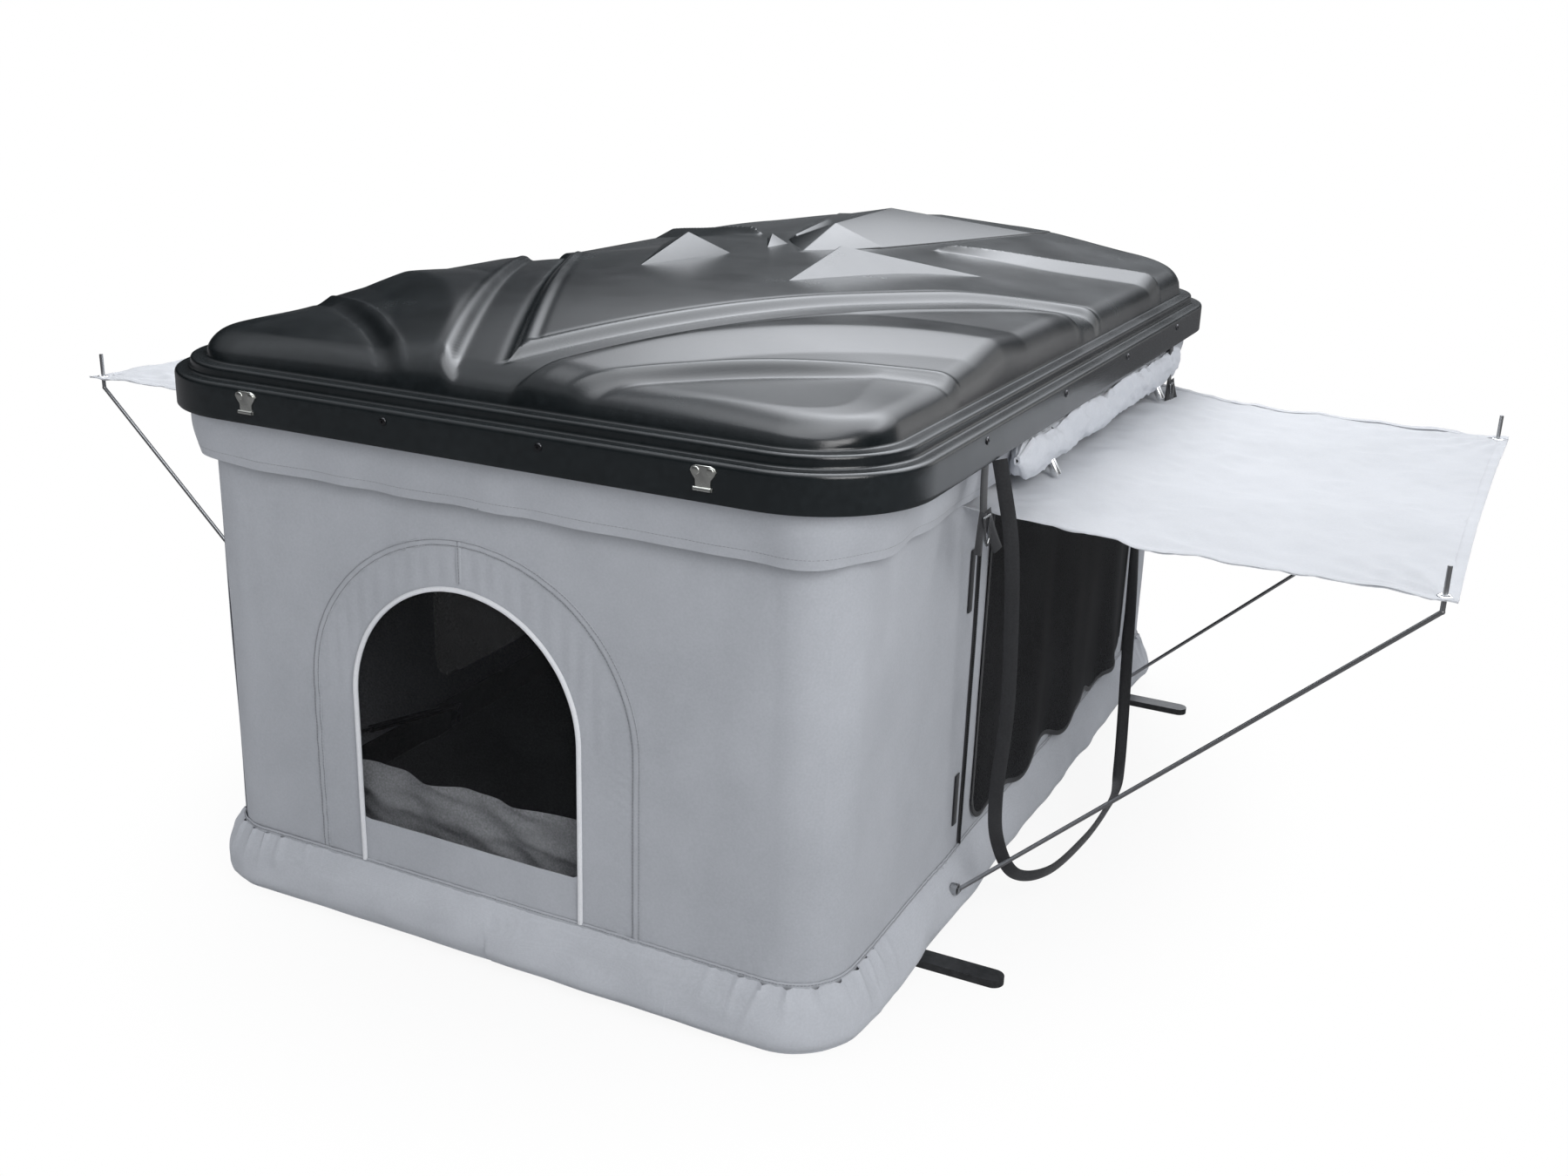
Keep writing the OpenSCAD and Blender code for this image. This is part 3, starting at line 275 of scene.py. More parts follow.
# LIFT
# Four folding steel arms and four gas struts raise the lid. Arms and brackets are
# plated steel, the strut tubes are enamelled black and their rods are hard chrome.
brushed, take, give = effect("brushed_metal", [("Place", PLACE), ("Tone", COLOUR), ("Dull", COLOUR)],
                             [("Colour", COLOUR), ("Roughness", FLOAT), ("Height", FLOAT)])
drawn = node(brushed, "Mapping", [("Vector", take["Place"]), ("Scale", (40.0, 40.0, 900.0))])
lines = clouds(brushed, drawn, 1.0, 3.0)
cloud = clouds(brushed, take["Place"], 28.0, 5.0)
brushed.links.new(tones(brushed, cloud, take["Tone"], take["Dull"]), give["Colour"])
brushed.links.new(ranged(brushed, cloud, 0.0, 1.0, 0.12, 0.42).outputs[0], give["Roughness"])
brushed.links.new(lines.outputs[0], give["Height"])


def metal(name, tone, dull, depth=0.0001):
    """Drawn or plated metal in two tones."""
    return skinned(brushed, (depth, 0.4), name, tone, 0.3, 1.0, Tone=(*tone, 1), Dull=(*dull, 1))[0]


corners = ("fr", "fl", "rr", "rl")
steel = metal("bracket_steel", (0.5, 0.51, 0.53), (0.33, 0.34, 0.36))
chrome = metal("strut_chrome", (0.78, 0.79, 0.8), (0.62, 0.63, 0.65))
coat(steel, "lower_brackets", "upper_brackets", "strut_blocks")
coat(steel, *["lower_arm_" + k for k in corners], *["upper_arm_" + k for k in corners])
coat(moulded("strut_black", (0.012, 0.012, 0.013), (0.02, 0.02, 0.022), 0.004, 0.18, 0.3, 0.0001),
     *["strut_tube_" + k for k in corners])
coat(chrome, *["strut_rod_" + k for k in corners])

# MATTRESS
# A foam slab in a dark quilted cover that fills the floor. Its edges are piped and its
# top is crowned, with three shallow sewn channels across.


def make_piece(name, bm, material, body, crease=40.0, stands_for=None, fold=None):
    """Turns a bmesh into a piece that rides on a body, smooth but for edges past crease. It may stand for
    a CAD node, which it hides. Given a fold, the piece gets a mesh of its own; the fold's height and share are not
    used."""
    mesh = bpy.data.meshes.new(name)
    bm.normal_update()
    bm.to_mesh(mesh)
    bm.free()
    mesh.shade_smooth()
    mesh.set_sharp_from_angle(angle=radians(crease))
    mesh.materials.append(material)
    piece = bpy.data.objects.new(name, mesh)
    scene.collection.objects.link(piece)
    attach(piece, body)
    if stands_for:
        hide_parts(stands_for)
    if fold:
        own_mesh(piece)
    return piece


def ease(bm, edges, offset, segments=3):
    """Rounds those edges off."""
    bmesh.ops.bevel(bm, geom=edges, offset=offset, segments=segments, profile=0.5, affect="EDGES", material=-1)


weave, take, give = effect("cloth_weave",
                           [("Place", PLACE), ("Threads", FLOAT), ("Tone", COLOUR), ("Shade", COLOUR)],
                           [("Colour", COLOUR), ("Height", FLOAT)])
axes = node(weave, "SeparateXYZ", [(0, take["Place"])]).outputs
weft = sums(weave, "ADD", axes["X"], axes["Y"])
warp = sums(weave, "ADD", axes["Z"], sums(weave, "SUBTRACT", axes["X"], axes["Y"]))
waves = [sums(weave, "SINE", sums(weave, "MULTIPLY", way, take["Threads"])) for way in (weft, warp)]
cloud = clouds(weave, take["Place"], 3.5, 7.0, 0.6)
slub = clouds(weave, take["Place"], 260.0, 2.0)
raised = sums(weave, "MULTIPLY_ADD", sums(weave, "MULTIPLY", *waves), 0.18, slub)
weave.links.new(sums(weave, "MULTIPLY", raised, 0.5).outputs[0], give["Height"])
mottle = ranged(weave, sums(weave, "MULTIPLY_ADD", raised, 0.45, cloud), 0.45, 1.0)
weave.links.new(tones(weave, mottle, take["Shade"], take["Tone"]), give["Colour"])


def cloth(name, tone, shade, thread, rough, depth=0.0003, fuzz=0.15):
    """Woven cloth: two tones, threads of that pitch in metres."""
    made, _, shader, _ = skinned(weave, (depth, 0.5), name, tone, rough, Threads=2 * pi / thread,
                                 Tone=(*tone, 1), Shade=(*shade, 1))
    shader.inputs["Specular IOR Level"].default_value = 0.25
    shader.inputs["Sheen Weight"].default_value = fuzz
    shader.inputs["Sheen Roughness"].default_value = 0.5
    return made


quilt_low, quilt_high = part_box("mattress")
quilt = bmesh.new()
bmesh.ops.create_cube(quilt, size=1.0)
bmesh.ops.scale(quilt, vec=quilt_high - quilt_low - Vector((0.012, 0.012, 0.012)), verts=quilt.verts)
bmesh.ops.translate(quilt, vec=(quilt_low + quilt_high) / 2, verts=quilt.verts)
ease(quilt, quilt.edges, 0.02)
for lengthwise in (1, 0):
    long_ones = [e for e in quilt.edges if e.calc_length() > 0.5
                 and abs((e.verts[0].co - e.verts[1].co)[lengthwise]) > 0.9 * e.calc_length()]
    bmesh.ops.subdivide_edges(quilt, edges=long_ones, cuts=46 if lengthwise else 26, use_grid_fill=True)
for v in quilt.verts:
    if v.co.z > quilt_high.z - 0.012:
        across = abs(sin(pi * (v.co.y / 0.46)))
        v.co.z += 0.006 * min(1.0, 2.5 * across) - 0.004 * exp(-(across / 0.12) ** 2)
quilt_cover = cloth("mattress_fabric", (0.10, 0.105, 0.115), (0.05, 0.052, 0.06), 0.0016, 0.85)
mattress = make_piece("mattress_pad", quilt, quilt_cover, "base", stands_for="mattress")

# SKIRT
# A strip of grey polycotton canvas sewn to the foot of the walls. It hangs over the
# tray, gathered in small pleats at the corners, and is turned in round its hem.
wall_half_x, wall_half_y, wall_round = 0.623, 0.985, 0.103
straight_x, straight_y, quarter = wall_half_x - wall_round, wall_half_y - wall_round, wall_round * pi / 2
canvas_thick = 0.0012
girth = 4 * (straight_x + straight_y + quarter)
half_turn = girth / 2


def wall_line(s, half_x=wall_half_x, half_y=wall_half_y, bend=wall_round):
    """Point and outward normal at length s round a rounded box, from the middle of its front to the right."""
    run_x, run_y, arc = half_x - bend, half_y - bend, bend * pi / 2
    half = 2 * (run_x + run_y + arc)
    k = -1.0 if s % (2 * half) >= half else 1.0
    # The half round: out along the front, a corner, the side, a corner and back along the rear.
    runs, gone = [], s % half
    for long in (run_x, arc, 2 * run_y, arc, run_x):
        runs.append(min(max(gone, 0.0), long))
        gone -= long
    a = (runs[1] + runs[3]) / bend
    x, y = runs[0] - runs[4] + bend * sin(a), runs[2] - run_y - bend * cos(a)
    return Vector((k * x, k * y, 0)), Vector((k * sin(a), -k * cos(a), 0))


def corner_near(s):
    """1 in the middle of a rounded corner, falling to 0 about 0.2 m from it."""
    s = s % half_turn
    first, second = straight_x + quarter / 2, straight_x + 1.5 * quarter + 2 * straight_y
    return max(0.0, 1 - min(abs(s - first), abs(s - second)) / 0.24)


def wall_ring(bm, rows, count, line=wall_line, total=girth):
    """A band round the tent: rows of (fold, height) functions of length, extruded one from the next."""
    bmesh.ops.create_circle(bm, cap_ends=False, radius=1.0, segments=count)
    for v in bm.verts:
        v.co.z = 0.0
    edges = list(bm.edges)
    for k in range(1, len(rows)):
        made = bmesh.ops.extrude_edge_only(bm, edges=edges)["geom"]
        fresh = {g for g in made if isinstance(g, bmesh.types.BMVert)}
        for v in fresh:
            v.co.z = k
        edges = [g for g in made if isinstance(g, bmesh.types.BMEdge) and all(v in fresh for v in g.verts)]
    for v in bm.verts:
        s = total * ((atan2(v.co.x, -v.co.y) / (2 * pi)) % 1.0)
        spot, out = line(s)
        fold, high = rows[int(round(v.co.z))](s)
        v.co = spot + out * fold + Vector((0, 0, high))


def wander(a, b, c=0.0):
    """Smooth noise, between -1 and 1."""
    return noise.noise(Vector((a, b, c)))


def thicken(bm, thick=canvas_thick):
    """Gives a sheet of faces the thickness of its cloth."""
    bmesh.ops.recalc_face_normals(bm, faces=bm.faces)
    bmesh.ops.solidify(bm, geom=bm.faces, thickness=thick)


skirt_top, skirt_foot, skirt_out, skirt_rows = 0.122, 0.016, 0.036, 15


def skirt_row(t):
    """The row of the skirt that share of the way down: how far out and how high it lies at a length."""
    def row(s):
        swell = skirt_out * (sin(pi * min(1.0, t * 1.15) * 0.5) ** 0.8 if t < 0.87 else 1.0)
        swell *= 1.0 if t < 0.72 else 1.0 - 0.5 * ((t - 0.72) / 0.28) ** 2
        near = corner_near(s)
        tuck = max(0.0, sin(s * 150 + 14 * t * wander(s * 9, 3.0) + 3 * wander(s * 11, 8.0))) ** 3
        pleat = 0.0085 * tuck * min(1.0, near * 1.6) * exp(-t * 3.0 * (1.2 + wander(s * 17, 6.0)))
        slack = 0.0085 * wander(s * 4.2, t * 1.6, 1.0) + 0.0040 * wander(s * 13, t * 3.0, 5.0)
        slack += 0.004 * near * wander(s * 30, t * 2.0, 9.0)
        return (0.0022 + swell + pleat + slack * min(1.0, t * 3) * (0.35 if t > 0.9 else 1.0),
                skirt_top - (skirt_top - skirt_foot) * t + 0.002 * wander(s * 5, 2.0) * t)
    return row


canvas = cloth("canvas_grey", (0.445, 0.461, 0.494), (0.352, 0.366, 0.394), 0.0014, 0.82, 0.00035, 0.1)
# The skirt is the walls' canvas painted lighter: painted light, for the light that falls on its upward-facing bulge.
skirt_cloth_painted_light = cloth("canvas_skirt_painted_light", (0.53, 0.548, 0.585), (0.42, 0.436, 0.467), 0.0014, 0.82, 0.00035, 0.1)
skirt_bm = bmesh.new()
wall_ring(skirt_bm, [skirt_row(i / (skirt_rows - 1)) for i in range(skirt_rows)], 1500)
thicken(skirt_bm)
skirt = make_piece("skirt_canvas", skirt_bm, skirt_cloth_painted_light, "base", stands_for="skirt")

# WALLS
# Four grey polycotton panels sewn into one tube from tray to lid. Each end has an arched
# window opening, each side a wide door opening. The cloth is slack enough to ripple.
wall_low, wall_high = 0.101, 0.9290
wall_fold = (0.1, 0.095)
arch_x, arch_half, arch_top, arch_sill = -0.058, 0.223, 0.672, 0.210
arch_spring = arch_top - arch_half
seam_out, seam_foot = 0.085, 0.124
door_near, door_far, door_low, door_top, door_round = -0.345, 0.700, 0.140, 0.800, 0.06
half_front = straight_x + quarter / 2


def cloth_ripple(s, z):
    """How far the hung canvas stands off its true line there."""
    pull = 0.0022 * wander(s * 5.0, z * 2.2, 3.0) + 0.0012 * wander(s * 16.0, z * 5.0, 7.0)
    pull += 0.0024 * corner_near(s) * wander(s * 26.0, z * 3.0, 11.0)
    # The stitching draws the cloth into small slanting puckers along the arch and the foot.
    x, up = (s + half_front) % half_turn - half_front - arch_x, z - arch_spring
    if abs(x) < 0.45 and half_front > abs(x + arch_x):
        off = (abs(x) if up < 0 else hypot(x, up)) - arch_half - seam_out
        run = z if up < 0 else arch_spring + 0.3 * atan2(up, abs(x))
        weak = 0.55 + 0.9 * wander(run * 9.0, x * 4.0, 13.0)
        slant = sin(run * 390 + off * 150 + 4 * wander(run * 13, x * 3, 2.0))
        pull += 0.0012 * weak * exp(-abs(off) / 0.024) * slant
        if -seam_out < off < 0 and up > 0:
            pull += 0.0009 * sin(x * 190 + 3 * wander(x * 8, z * 5)) * sin(pi * -off / seam_out)
    foot = 0.0011 * exp(-max(0.0, z - 0.122) / 0.026) * (0.5 + wander(s * 5, 9.0))
    return pull + foot * sin(s * 260 + (z - 0.12) * 90 + 4 * wander(s * 7, 5.0))


def on_wall(s, z, lift=0.0):
    """Point on the outside of the hung canvas and its outward normal."""
    spot, out = wall_line(s)
    return spot + out * (canvas_thick + cloth_ripple(s, z) + lift) + Vector((0, 0, z)), out


def arch_edge(x, z):
    """Distance outside the arched window opening, negative inside."""
    x -= arch_x
    if z <= arch_spring:
        return max(abs(x) - arch_half, arch_sill - z)
    return hypot(x, z - arch_spring) - arch_half


def door_edge(y, z):
    """Distance outside the door opening, with round lower corners."""
    mid, half = (door_near + door_far) / 2, (door_far - door_near) / 2
    dx, dz = abs(y - mid) - (half - door_round), (door_low + 0.03 + door_round) - z
    if dx > 0 and dz > 0:
        return hypot(dx, dz) - door_round
    return max(dx, dz) - door_round if z < door_top - 0.05 else max(dx - door_round, z - door_top)


def hang_panel(bm, start, end, hole, step):
    """Hangs a cloth grid from start to end round the walls and cuts the opening out of it."""
    wide, tall = max(4, int((end - start) / step)), int((wall_high - wall_low) / step)
    bmesh.ops.create_grid(bm, x_segments=wide, y_segments=tall, size=0.5)
    flat = {}
    for v in bm.verts:
        flat[v] = [start + (end - start) * (v.co.x + 0.5), wall_low + (wall_high - wall_low) * (v.co.y + 0.5)]
    cut = [f for f in bm.faces if all(hole(*flat[v]) < 0 for v in f.verts)]
    bmesh.ops.delete(bm, geom=cut, context="FACES")
    for v in bm.verts:
        # The ragged rim of the cut is drawn out onto the opening's true line.
        s, z = flat[v]
        if v.is_boundary and hole(s, z) < 0.001 and wall_low < z < wall_high - 0.001 and start < s < end:
            for _ in range(6):
                s, z = flat[v]
                away = hole(s, z)
                gs = (hole(s + 0.001, z) - hole(s - 0.001, z)) / 0.002
                gz = (hole(s, z + 0.001) - hole(s, z - 0.001)) / 0.002
                size = gs * gs + gz * gz or 1.0
                flat[v] = [s - away * gs / size, z - away * gz / size]
    for v in bm.verts:
        v.co = on_wall(*flat[v])[0]
    bmesh.ops.recalc_face_normals(bm, faces=bm.faces)
    if sum(f.normal.dot(Vector((f.calc_center_median().x, f.calc_center_median().y, 0))) for f in bm.faces) < 0:
        bmesh.ops.reverse_faces(bm, faces=bm.faces)
    bmesh.ops.solidify(bm, geom=bm.faces, thickness=canvas_thick)


side_mid = straight_x + quarter + straight_y
panels = {
    "front": (-half_front, half_front, arch_edge),
    "right": (half_front, half_turn - half_front, lambda s, z: door_edge(s - side_mid, z)),
    "rear": (half_turn - half_front, half_turn + half_front, lambda s, z: arch_edge(s - half_turn, z)),
    "left": (half_turn + half_front, girth - half_front, lambda s, z: door_edge(girth - s - side_mid, z)),
}
for side, (start, end, hole) in panels.items():
    step, area = (0.006, 0.75) if side in ("front", "rear") else (0.0105, 0.80)
    wall_bm = bmesh.new()
    hang_panel(wall_bm, start, end, hole, step)
    wall = make_piece("wall_canvas_" + side, wall_bm, canvas, "base", stands_for="wall_" + side,
                      fold=wall_fold)

# SEAMS
# Flat-felled seams: a raised fold held by two rows of lockstitch in grey thread. One runs
# along the foot of the walls, one arches round each window, and one falls from its crown.
thread = cloth("seam_thread", (0.26, 0.268, 0.284), (0.19, 0.197, 0.21), 0.0009, 0.7, 0.0002)


def shape_of(bm):
    """Keeps a small bmesh as a mesh that can be stamped many times."""
    mesh = bpy.data.meshes.new("shape")
    bmesh.ops.recalc_face_normals(bm, faces=bm.faces)
    bm.to_mesh(mesh)
    bm.free()
    return mesh


def stamp(bm, shape, matrix=Matrix.Identity(4)):
    """Adds a copy of a kept shape to a bmesh, put in place by matrix."""
    shape.transform(matrix)
    bm.from_mesh(shape)
    shape.transform(matrix.inverted())


def rod(bm, segments, radius, depth):
    """A plain round rod along Z, round the origin; gives its points."""
    made = bmesh.ops.create_cone(bm, cap_ends=True, segments=segments, radius1=radius, radius2=radius, depth=depth)
    return made["verts"]


one_stitch = bmesh.new()
rod(one_stitch, 6, 0.5, 1.0)
one_stitch = shape_of(one_stitch)


def lay_stitches(bm, line, pitch=0.0058, long=0.0042, thick=0.0011):
    """Small stitches along a line of (point, outward normal)."""
    gone, at = 0.0, 0.0
    for (p, n), (q, _) in zip(line, line[1:]):
        run = (q - p).length
        along = (q - p).normalized()
        side = n.cross(along).normalized()
        turn = Matrix((side * thick, along.cross(side) * thick, along * long)).transposed().to_4x4()
        while at < gone + run:
            stamp(bm, one_stitch, Matrix.Translation(p.lerp(q, (at - gone) / run) + n * (thick * 0.35)) @ turn)
            at += pitch
        gone += run


def raise_fold(bm, line, wide, thick):
    """A flat fold of cloth along a line of (point, outward normal), closed all round."""
    shape = ((-0.5, 0.0), (-0.42, 0.8), (-0.15, 1.0), (0.15, 1.0), (0.42, 0.8), (0.5, 0.0), (0.0, -0.1), (-0.5, 0.0))
    strip = bmesh.new()
    bmesh.ops.create_grid(strip, x_segments=len(line) - 1, y_segments=len(shape) - 1, size=0.5)
    for v in strip.verts:
        k = int(round((v.co.x + 0.5) * (len(line) - 1)))
        across, up = shape[int(round((v.co.y + 0.5) * (len(shape) - 1)))]
        p, n = line[k]
        way = line[min(k + 1, len(line) - 1)][0] - line[max(k - 1, 0)][0]
        v.co = p + n.cross(way.normalized()) * (across * wide) + n * (up * thick - 0.0003)
    bmesh.ops.remove_doubles(strip, verts=strip.verts, dist=1e-6)
    bmesh.ops.holes_fill(strip, edges=[e for e in strip.edges if e.is_boundary])
    strip = shape_of(strip)
    stamp(bm, strip)
    bpy.data.meshes.remove(strip)


def off_row(row, s, lift, rise=0.0):
    """Point just outside a row of hung cloth, and its outward normal."""
    spot, out = wall_line(s)
    fold, high = row(s)
    return spot + out * (fold + lift) + Vector((0, 0, high + rise)), out


def arch_line(grow, foot, shift, lift=0.0, count=90):
    """Line of an arch round a window, from its left foot over the crown to its right foot."""
    mid, half, legs = arch_x + 0.124 * grow, arch_half + 1.206 * grow, int(count * 0.3)
    line = [(mid - half, foot + (arch_spring - foot) * i / legs) for i in range(legs)]
    for i in range(count + 1):
        a = pi * (1 - i / count)
        line.append((mid + half * cos(a), arch_spring + (arch_half + grow) * sin(a)))
    line += [(mid + half, arch_spring + (foot - arch_spring) * i / legs) for i in range(1, legs + 1)]
    return [on_wall(x + shift, z, lift) for x, z in line]


fold_bm, stitch_bm = bmesh.new(), bmesh.new()
for shift in (0.0, half_turn):
    raise_fold(fold_bm, arch_line(seam_out, seam_foot, shift), 0.014, 0.0016)
    for grow in (0.0805, 0.0895):
        lay_stitches(stitch_bm, arch_line(grow, seam_foot, shift, 0.0013))
    crown = [on_wall(arch_x + shift, 0.690 + 0.004 * i) for i in range(19)]
    raise_fold(fold_bm, crown, 0.012, 0.0015)
    lay_stitches(stitch_bm, [(p + n * 0.0013, n) for p, n in crown])
make_piece("window_seams", fold_bm, canvas, "base", 60, fold=wall_fold)
make_piece("window_stitches", stitch_bm, thread, "base", 60, fold=wall_fold)

foot_bm, row_bm = bmesh.new(), bmesh.new()
round_wall = [girth * i / 640 for i in range(641)]
raise_fold(foot_bm, [on_wall(s, 0.1225, 0.0015) for s in round_wall], 0.015, 0.0016)
for z in (0.1185, 0.1265):
    lay_stitches(row_bm, [on_wall(s, z, 0.0028) for s in round_wall])
make_piece("foot_seam", foot_bm, canvas, "base", 60)
make_piece("foot_stitches", row_bm, thread, "base", 60)
hem_bm = bmesh.new()
raise_fold(hem_bm, [off_row(skirt_row(0.985), s, 0.0004) for s in round_wall], 0.006, 0.0016)
for s in (0.355, half_turn + 0.355):
    raise_fold(hem_bm, [off_row(skirt_row(0.1 + 0.88 * i / 24), s, 0.0003) for i in range(25)], 0.007, 0.0013)
# The hem takes the skirt's lighter canvas, which holds painted light.
make_piece("skirt_hem", hem_bm, skirt_cloth_painted_light, "base", 60)

# WINDOW AND DOOR NETS
# Fine black polyester net. The window nets are sewn in flat; the door nets hang loose
# from a zip, so they billow and their bound lower edge waves.


def netting(name, thin, dense):
    """Black net that covers between those shares of what is behind it."""
    made, tree, shader, strand = skinned(weave, None, name, (0.012, 0.0125, 0.014), 0.6,
                                         Threads=2 * pi / 0.0016, Tone=(0.02, 0.021, 0.023, 1),
                                         Shade=(0.008, 0.008, 0.009, 1))
    holes = ranged(tree, strand.outputs["Height"], 0.1, 0.4, thin, dense)
    tree.links.new(holes.outputs[0], shader.inputs["Alpha"])
    shader.inputs["Specular IOR Level"].default_value = 0.2
    return made


def cloth_grid(across, along, place, thick):
    """A grid of cloth; place puts each point, from its two shares of the way."""
    bm = bmesh.new()
    bmesh.ops.create_grid(bm, x_segments=across, y_segments=along, size=0.5)
    for v in bm.verts:
        v.co = place(v.co.x + 0.5, v.co.y + 0.5)
    thicken(bm, thick)
    return bm


both_ends, both_sides = (("front", 0.0), ("rear", half_turn)), (("right", 1.0), ("left", -1.0))
net_fine, net_dense = netting("mesh_black", 0.20, 0.40), netting("mesh_dense", 0.80, 0.96)
for side, shift in both_ends:
    def place(u, t):
        u = 2 * u - 1
        x = arch_x + u * (arch_half + 0.004)
        crown = arch_spring + sqrt(max(0.0, 1 - u * u)) * arch_half
        z = arch_sill - 0.004 + (crown + 0.004 - arch_sill) * t
        spot, out = wall_line(x + shift)
        return spot - out * (0.0015 + 0.0015 * (1 + wander(x * 7, z * 7, 4.0))) + Vector((0, 0, z))

    pane = make_piece("net_" + side, cloth_grid(44, 44, place, 0.0005), net_fine, "base",
                      stands_for="mesh_" + side, fold=wall_fold)


def door_foot(y):
    """Height of the loose net's lower edge."""
    wave = 0.010 * sin(y * 21.0 + 0.6) + 0.006 * sin(y * 47.0 + 2.0)
    near = min(y - door_near, door_far - y)
    curl = 0.05 - sqrt(max(0.0, 0.05 ** 2 - (0.05 - near) ** 2)) if near < 0.05 else 0.0
    return door_low + 0.004 + wave * min(1.0, near / 0.08) + curl


def door_billow(y, z):
    """How far the loose net stands out from the wall's outside there."""
    down = max(0.0, (door_top - z) / (door_top - door_low))
    edge = min(1.0, max(0.0, min(y - door_near, door_far - y)) / 0.09)
    fold = 0.009 * sin(y * 21.0 + 2.2 + 1.5 * wander(y * 3, z * 2)) + 0.005 * wander(y * 11, z * 4, 6.0)
    return 0.0035 + (0.004 + fold + 0.006) * edge * down ** 1.3


for side, k in both_sides:
    def place(u, t):
        y = door_near - 0.003 + (door_far - door_near + 0.006) * u
        low = door_foot(min(max(y, door_near), door_far))
        z = low + (door_top + 0.004 - low) * t
        return Vector((k * (wall_half_x + door_billow(y, z)), y, z))

    curtain = make_piece("net_" + side, cloth_grid(120, 60, place, 0.0005), net_dense, "base",
                         stands_for="mesh_" + side, fold=wall_fold)
    tape_bm, out = bmesh.new(), Vector((k, 0, 0))
    rim = [(y, door_foot(y)) for y in (door_near + (door_far - door_near) * i / 140 for i in range(141))]
    rim = [(Vector((k * (wall_half_x + door_billow(y, foot)), y, foot + 0.004)), out) for y, foot in rim]
    raise_fold(tape_bm, rim, 0.011, 0.0016)
    rises = [0.185 + (door_top - 0.185) * i / 40 for i in range(41)]
    for y in (door_near, door_far):
        raise_fold(tape_bm, [(Vector((k * (wall_half_x + 0.0045), y, z)), out) for z in rises], 0.010, 0.0014)
    tape = cloth("net_binding_" + side, (0.035, 0.036, 0.04), (0.018, 0.018, 0.02), 0.001, 0.75)
    make_piece("net_binding_" + side, tape_bm, tape, "base", 60, fold=wall_fold)

# WINDOW PIPING
# A white rolled cord sewn round each window as an arch; its legs run down past the sill
# to the foot seam.
piping_white = cloth("piping_white", (0.80, 0.81, 0.83), (0.66, 0.67, 0.70), 0.0011, 0.6)
for side, shift in both_ends:
    cord_bm = bmesh.new()
    raise_fold(cord_bm, arch_line(0.004, 0.127, shift, 0.0006, 120), 0.0085, 0.0042)
    make_piece("piping_cord_" + side, cord_bm, piping_white, "base", 75, "piping_" + side, wall_fold)

# WINDOW FLAPS
# Inside each window is a grey blackout flap. The front one has been let down and lies in
# folds along the sill; the rear one is zipped up over its window.
for side, shift in both_ends:
    def place(u, t):
        x = arch_x + (2 * u - 1) * (arch_half + 0.03)
        fold = 0.008 * sin(x * 34 + 3.2 * t + 3 * wander(x * 5, t * 2)) * (0.4 + 0.6 * t)
        fold += 0.011 * wander(x * 16 + t * 3, t * 5, 8.0)
        if side == "front":
            tall, inward = 0.135 + 0.005 * wander(x * 9, 1.0) + 0.02 * (u - 0.6) ** 2, 0.031 + fold - 0.008 * t
        else:
            tall, inward = 0.54, 0.0100 + 0.12 * fold
        spot, out = wall_line(x + shift)
        return spot - out * inward + Vector((0, 0, 0.165 + tall * t))

    flap_grey = cloth("flap_grey_" + side, (0.70, 0.715, 0.745), (0.56, 0.572, 0.60), 0.0014, 0.85)
    flap = make_piece("window_flap_" + side, cloth_grid(90, 34, place, 0.001), flap_grey, "base",
                      fold=(0.1, 0.085))

# DOOR ZIPS AND PATCHES
# A black coil zip runs down each side of a door opening, with its tape sewn to the wall.
# Two short black hook-and-loop patches sit beside the near one.
zip_tape = cloth("zip_tape", (0.03, 0.031, 0.034), (0.014, 0.014, 0.016), 0.001, 0.7)
zip_spots, patch_spot = (-0.404, 0.752), -0.437
zip_coil = moulded("zip_coil", (0.014, 0.014, 0.015), (0.03, 0.03, 0.032), 0.003, 0.3, 0.45, 0.0001)
for side, k in both_sides:
    def door_line(y, low, high, count):
        """Upright line on the door's wall, that far from the wall's middle."""
        s = side_mid + y if k > 0 else girth - side_mid - y
        return [on_wall(s, low + (high - low) * i / count, 0.0016) for i in range(count + 1)]

    tape_bm, coil_bm = bmesh.new(), bmesh.new()
    for y in zip_spots:
        line = door_line(y, 0.132, 0.80, 59)
        raise_fold(tape_bm, line, 0.012, 0.0008)
        lay_stitches(coil_bm, [(p + n * 0.0012, n) for p, n in line], 0.0032, 0.0022, 0.0042)
    for low, high in ((0.60, 0.715), (0.185, 0.285)):
        raise_fold(tape_bm, door_line(patch_spot, low, high, 12), 0.021, 0.0022)
    make_piece("zip_tape_" + side, tape_bm, zip_tape, "base", 60, fold=wall_fold)
    make_piece("zip_coil_" + side, coil_bm, zip_coil, "base", 60, fold=wall_fold)

# LID FRAME, LINER AND SEAL
# An alloy tube frame stiffens the lid, a grey felt liner closes its underside, and a
# black rubber strip seals its rim against the base.
coat(metal("frame_alloy", (0.60, 0.61, 0.62), (0.44, 0.45, 0.46)), "shell_frame")
coat(cloth("liner_fabric", (0.20, 0.205, 0.215), (0.12, 0.125, 0.13), 0.002, 0.9, 0.0006, 0.3), "shell_liner")
coat(moulded("seal_rubber", (0.012, 0.012, 0.012), (0.022, 0.022, 0.022), 0.003, 0.5, 0.7, 0.0002), "rim_seal")

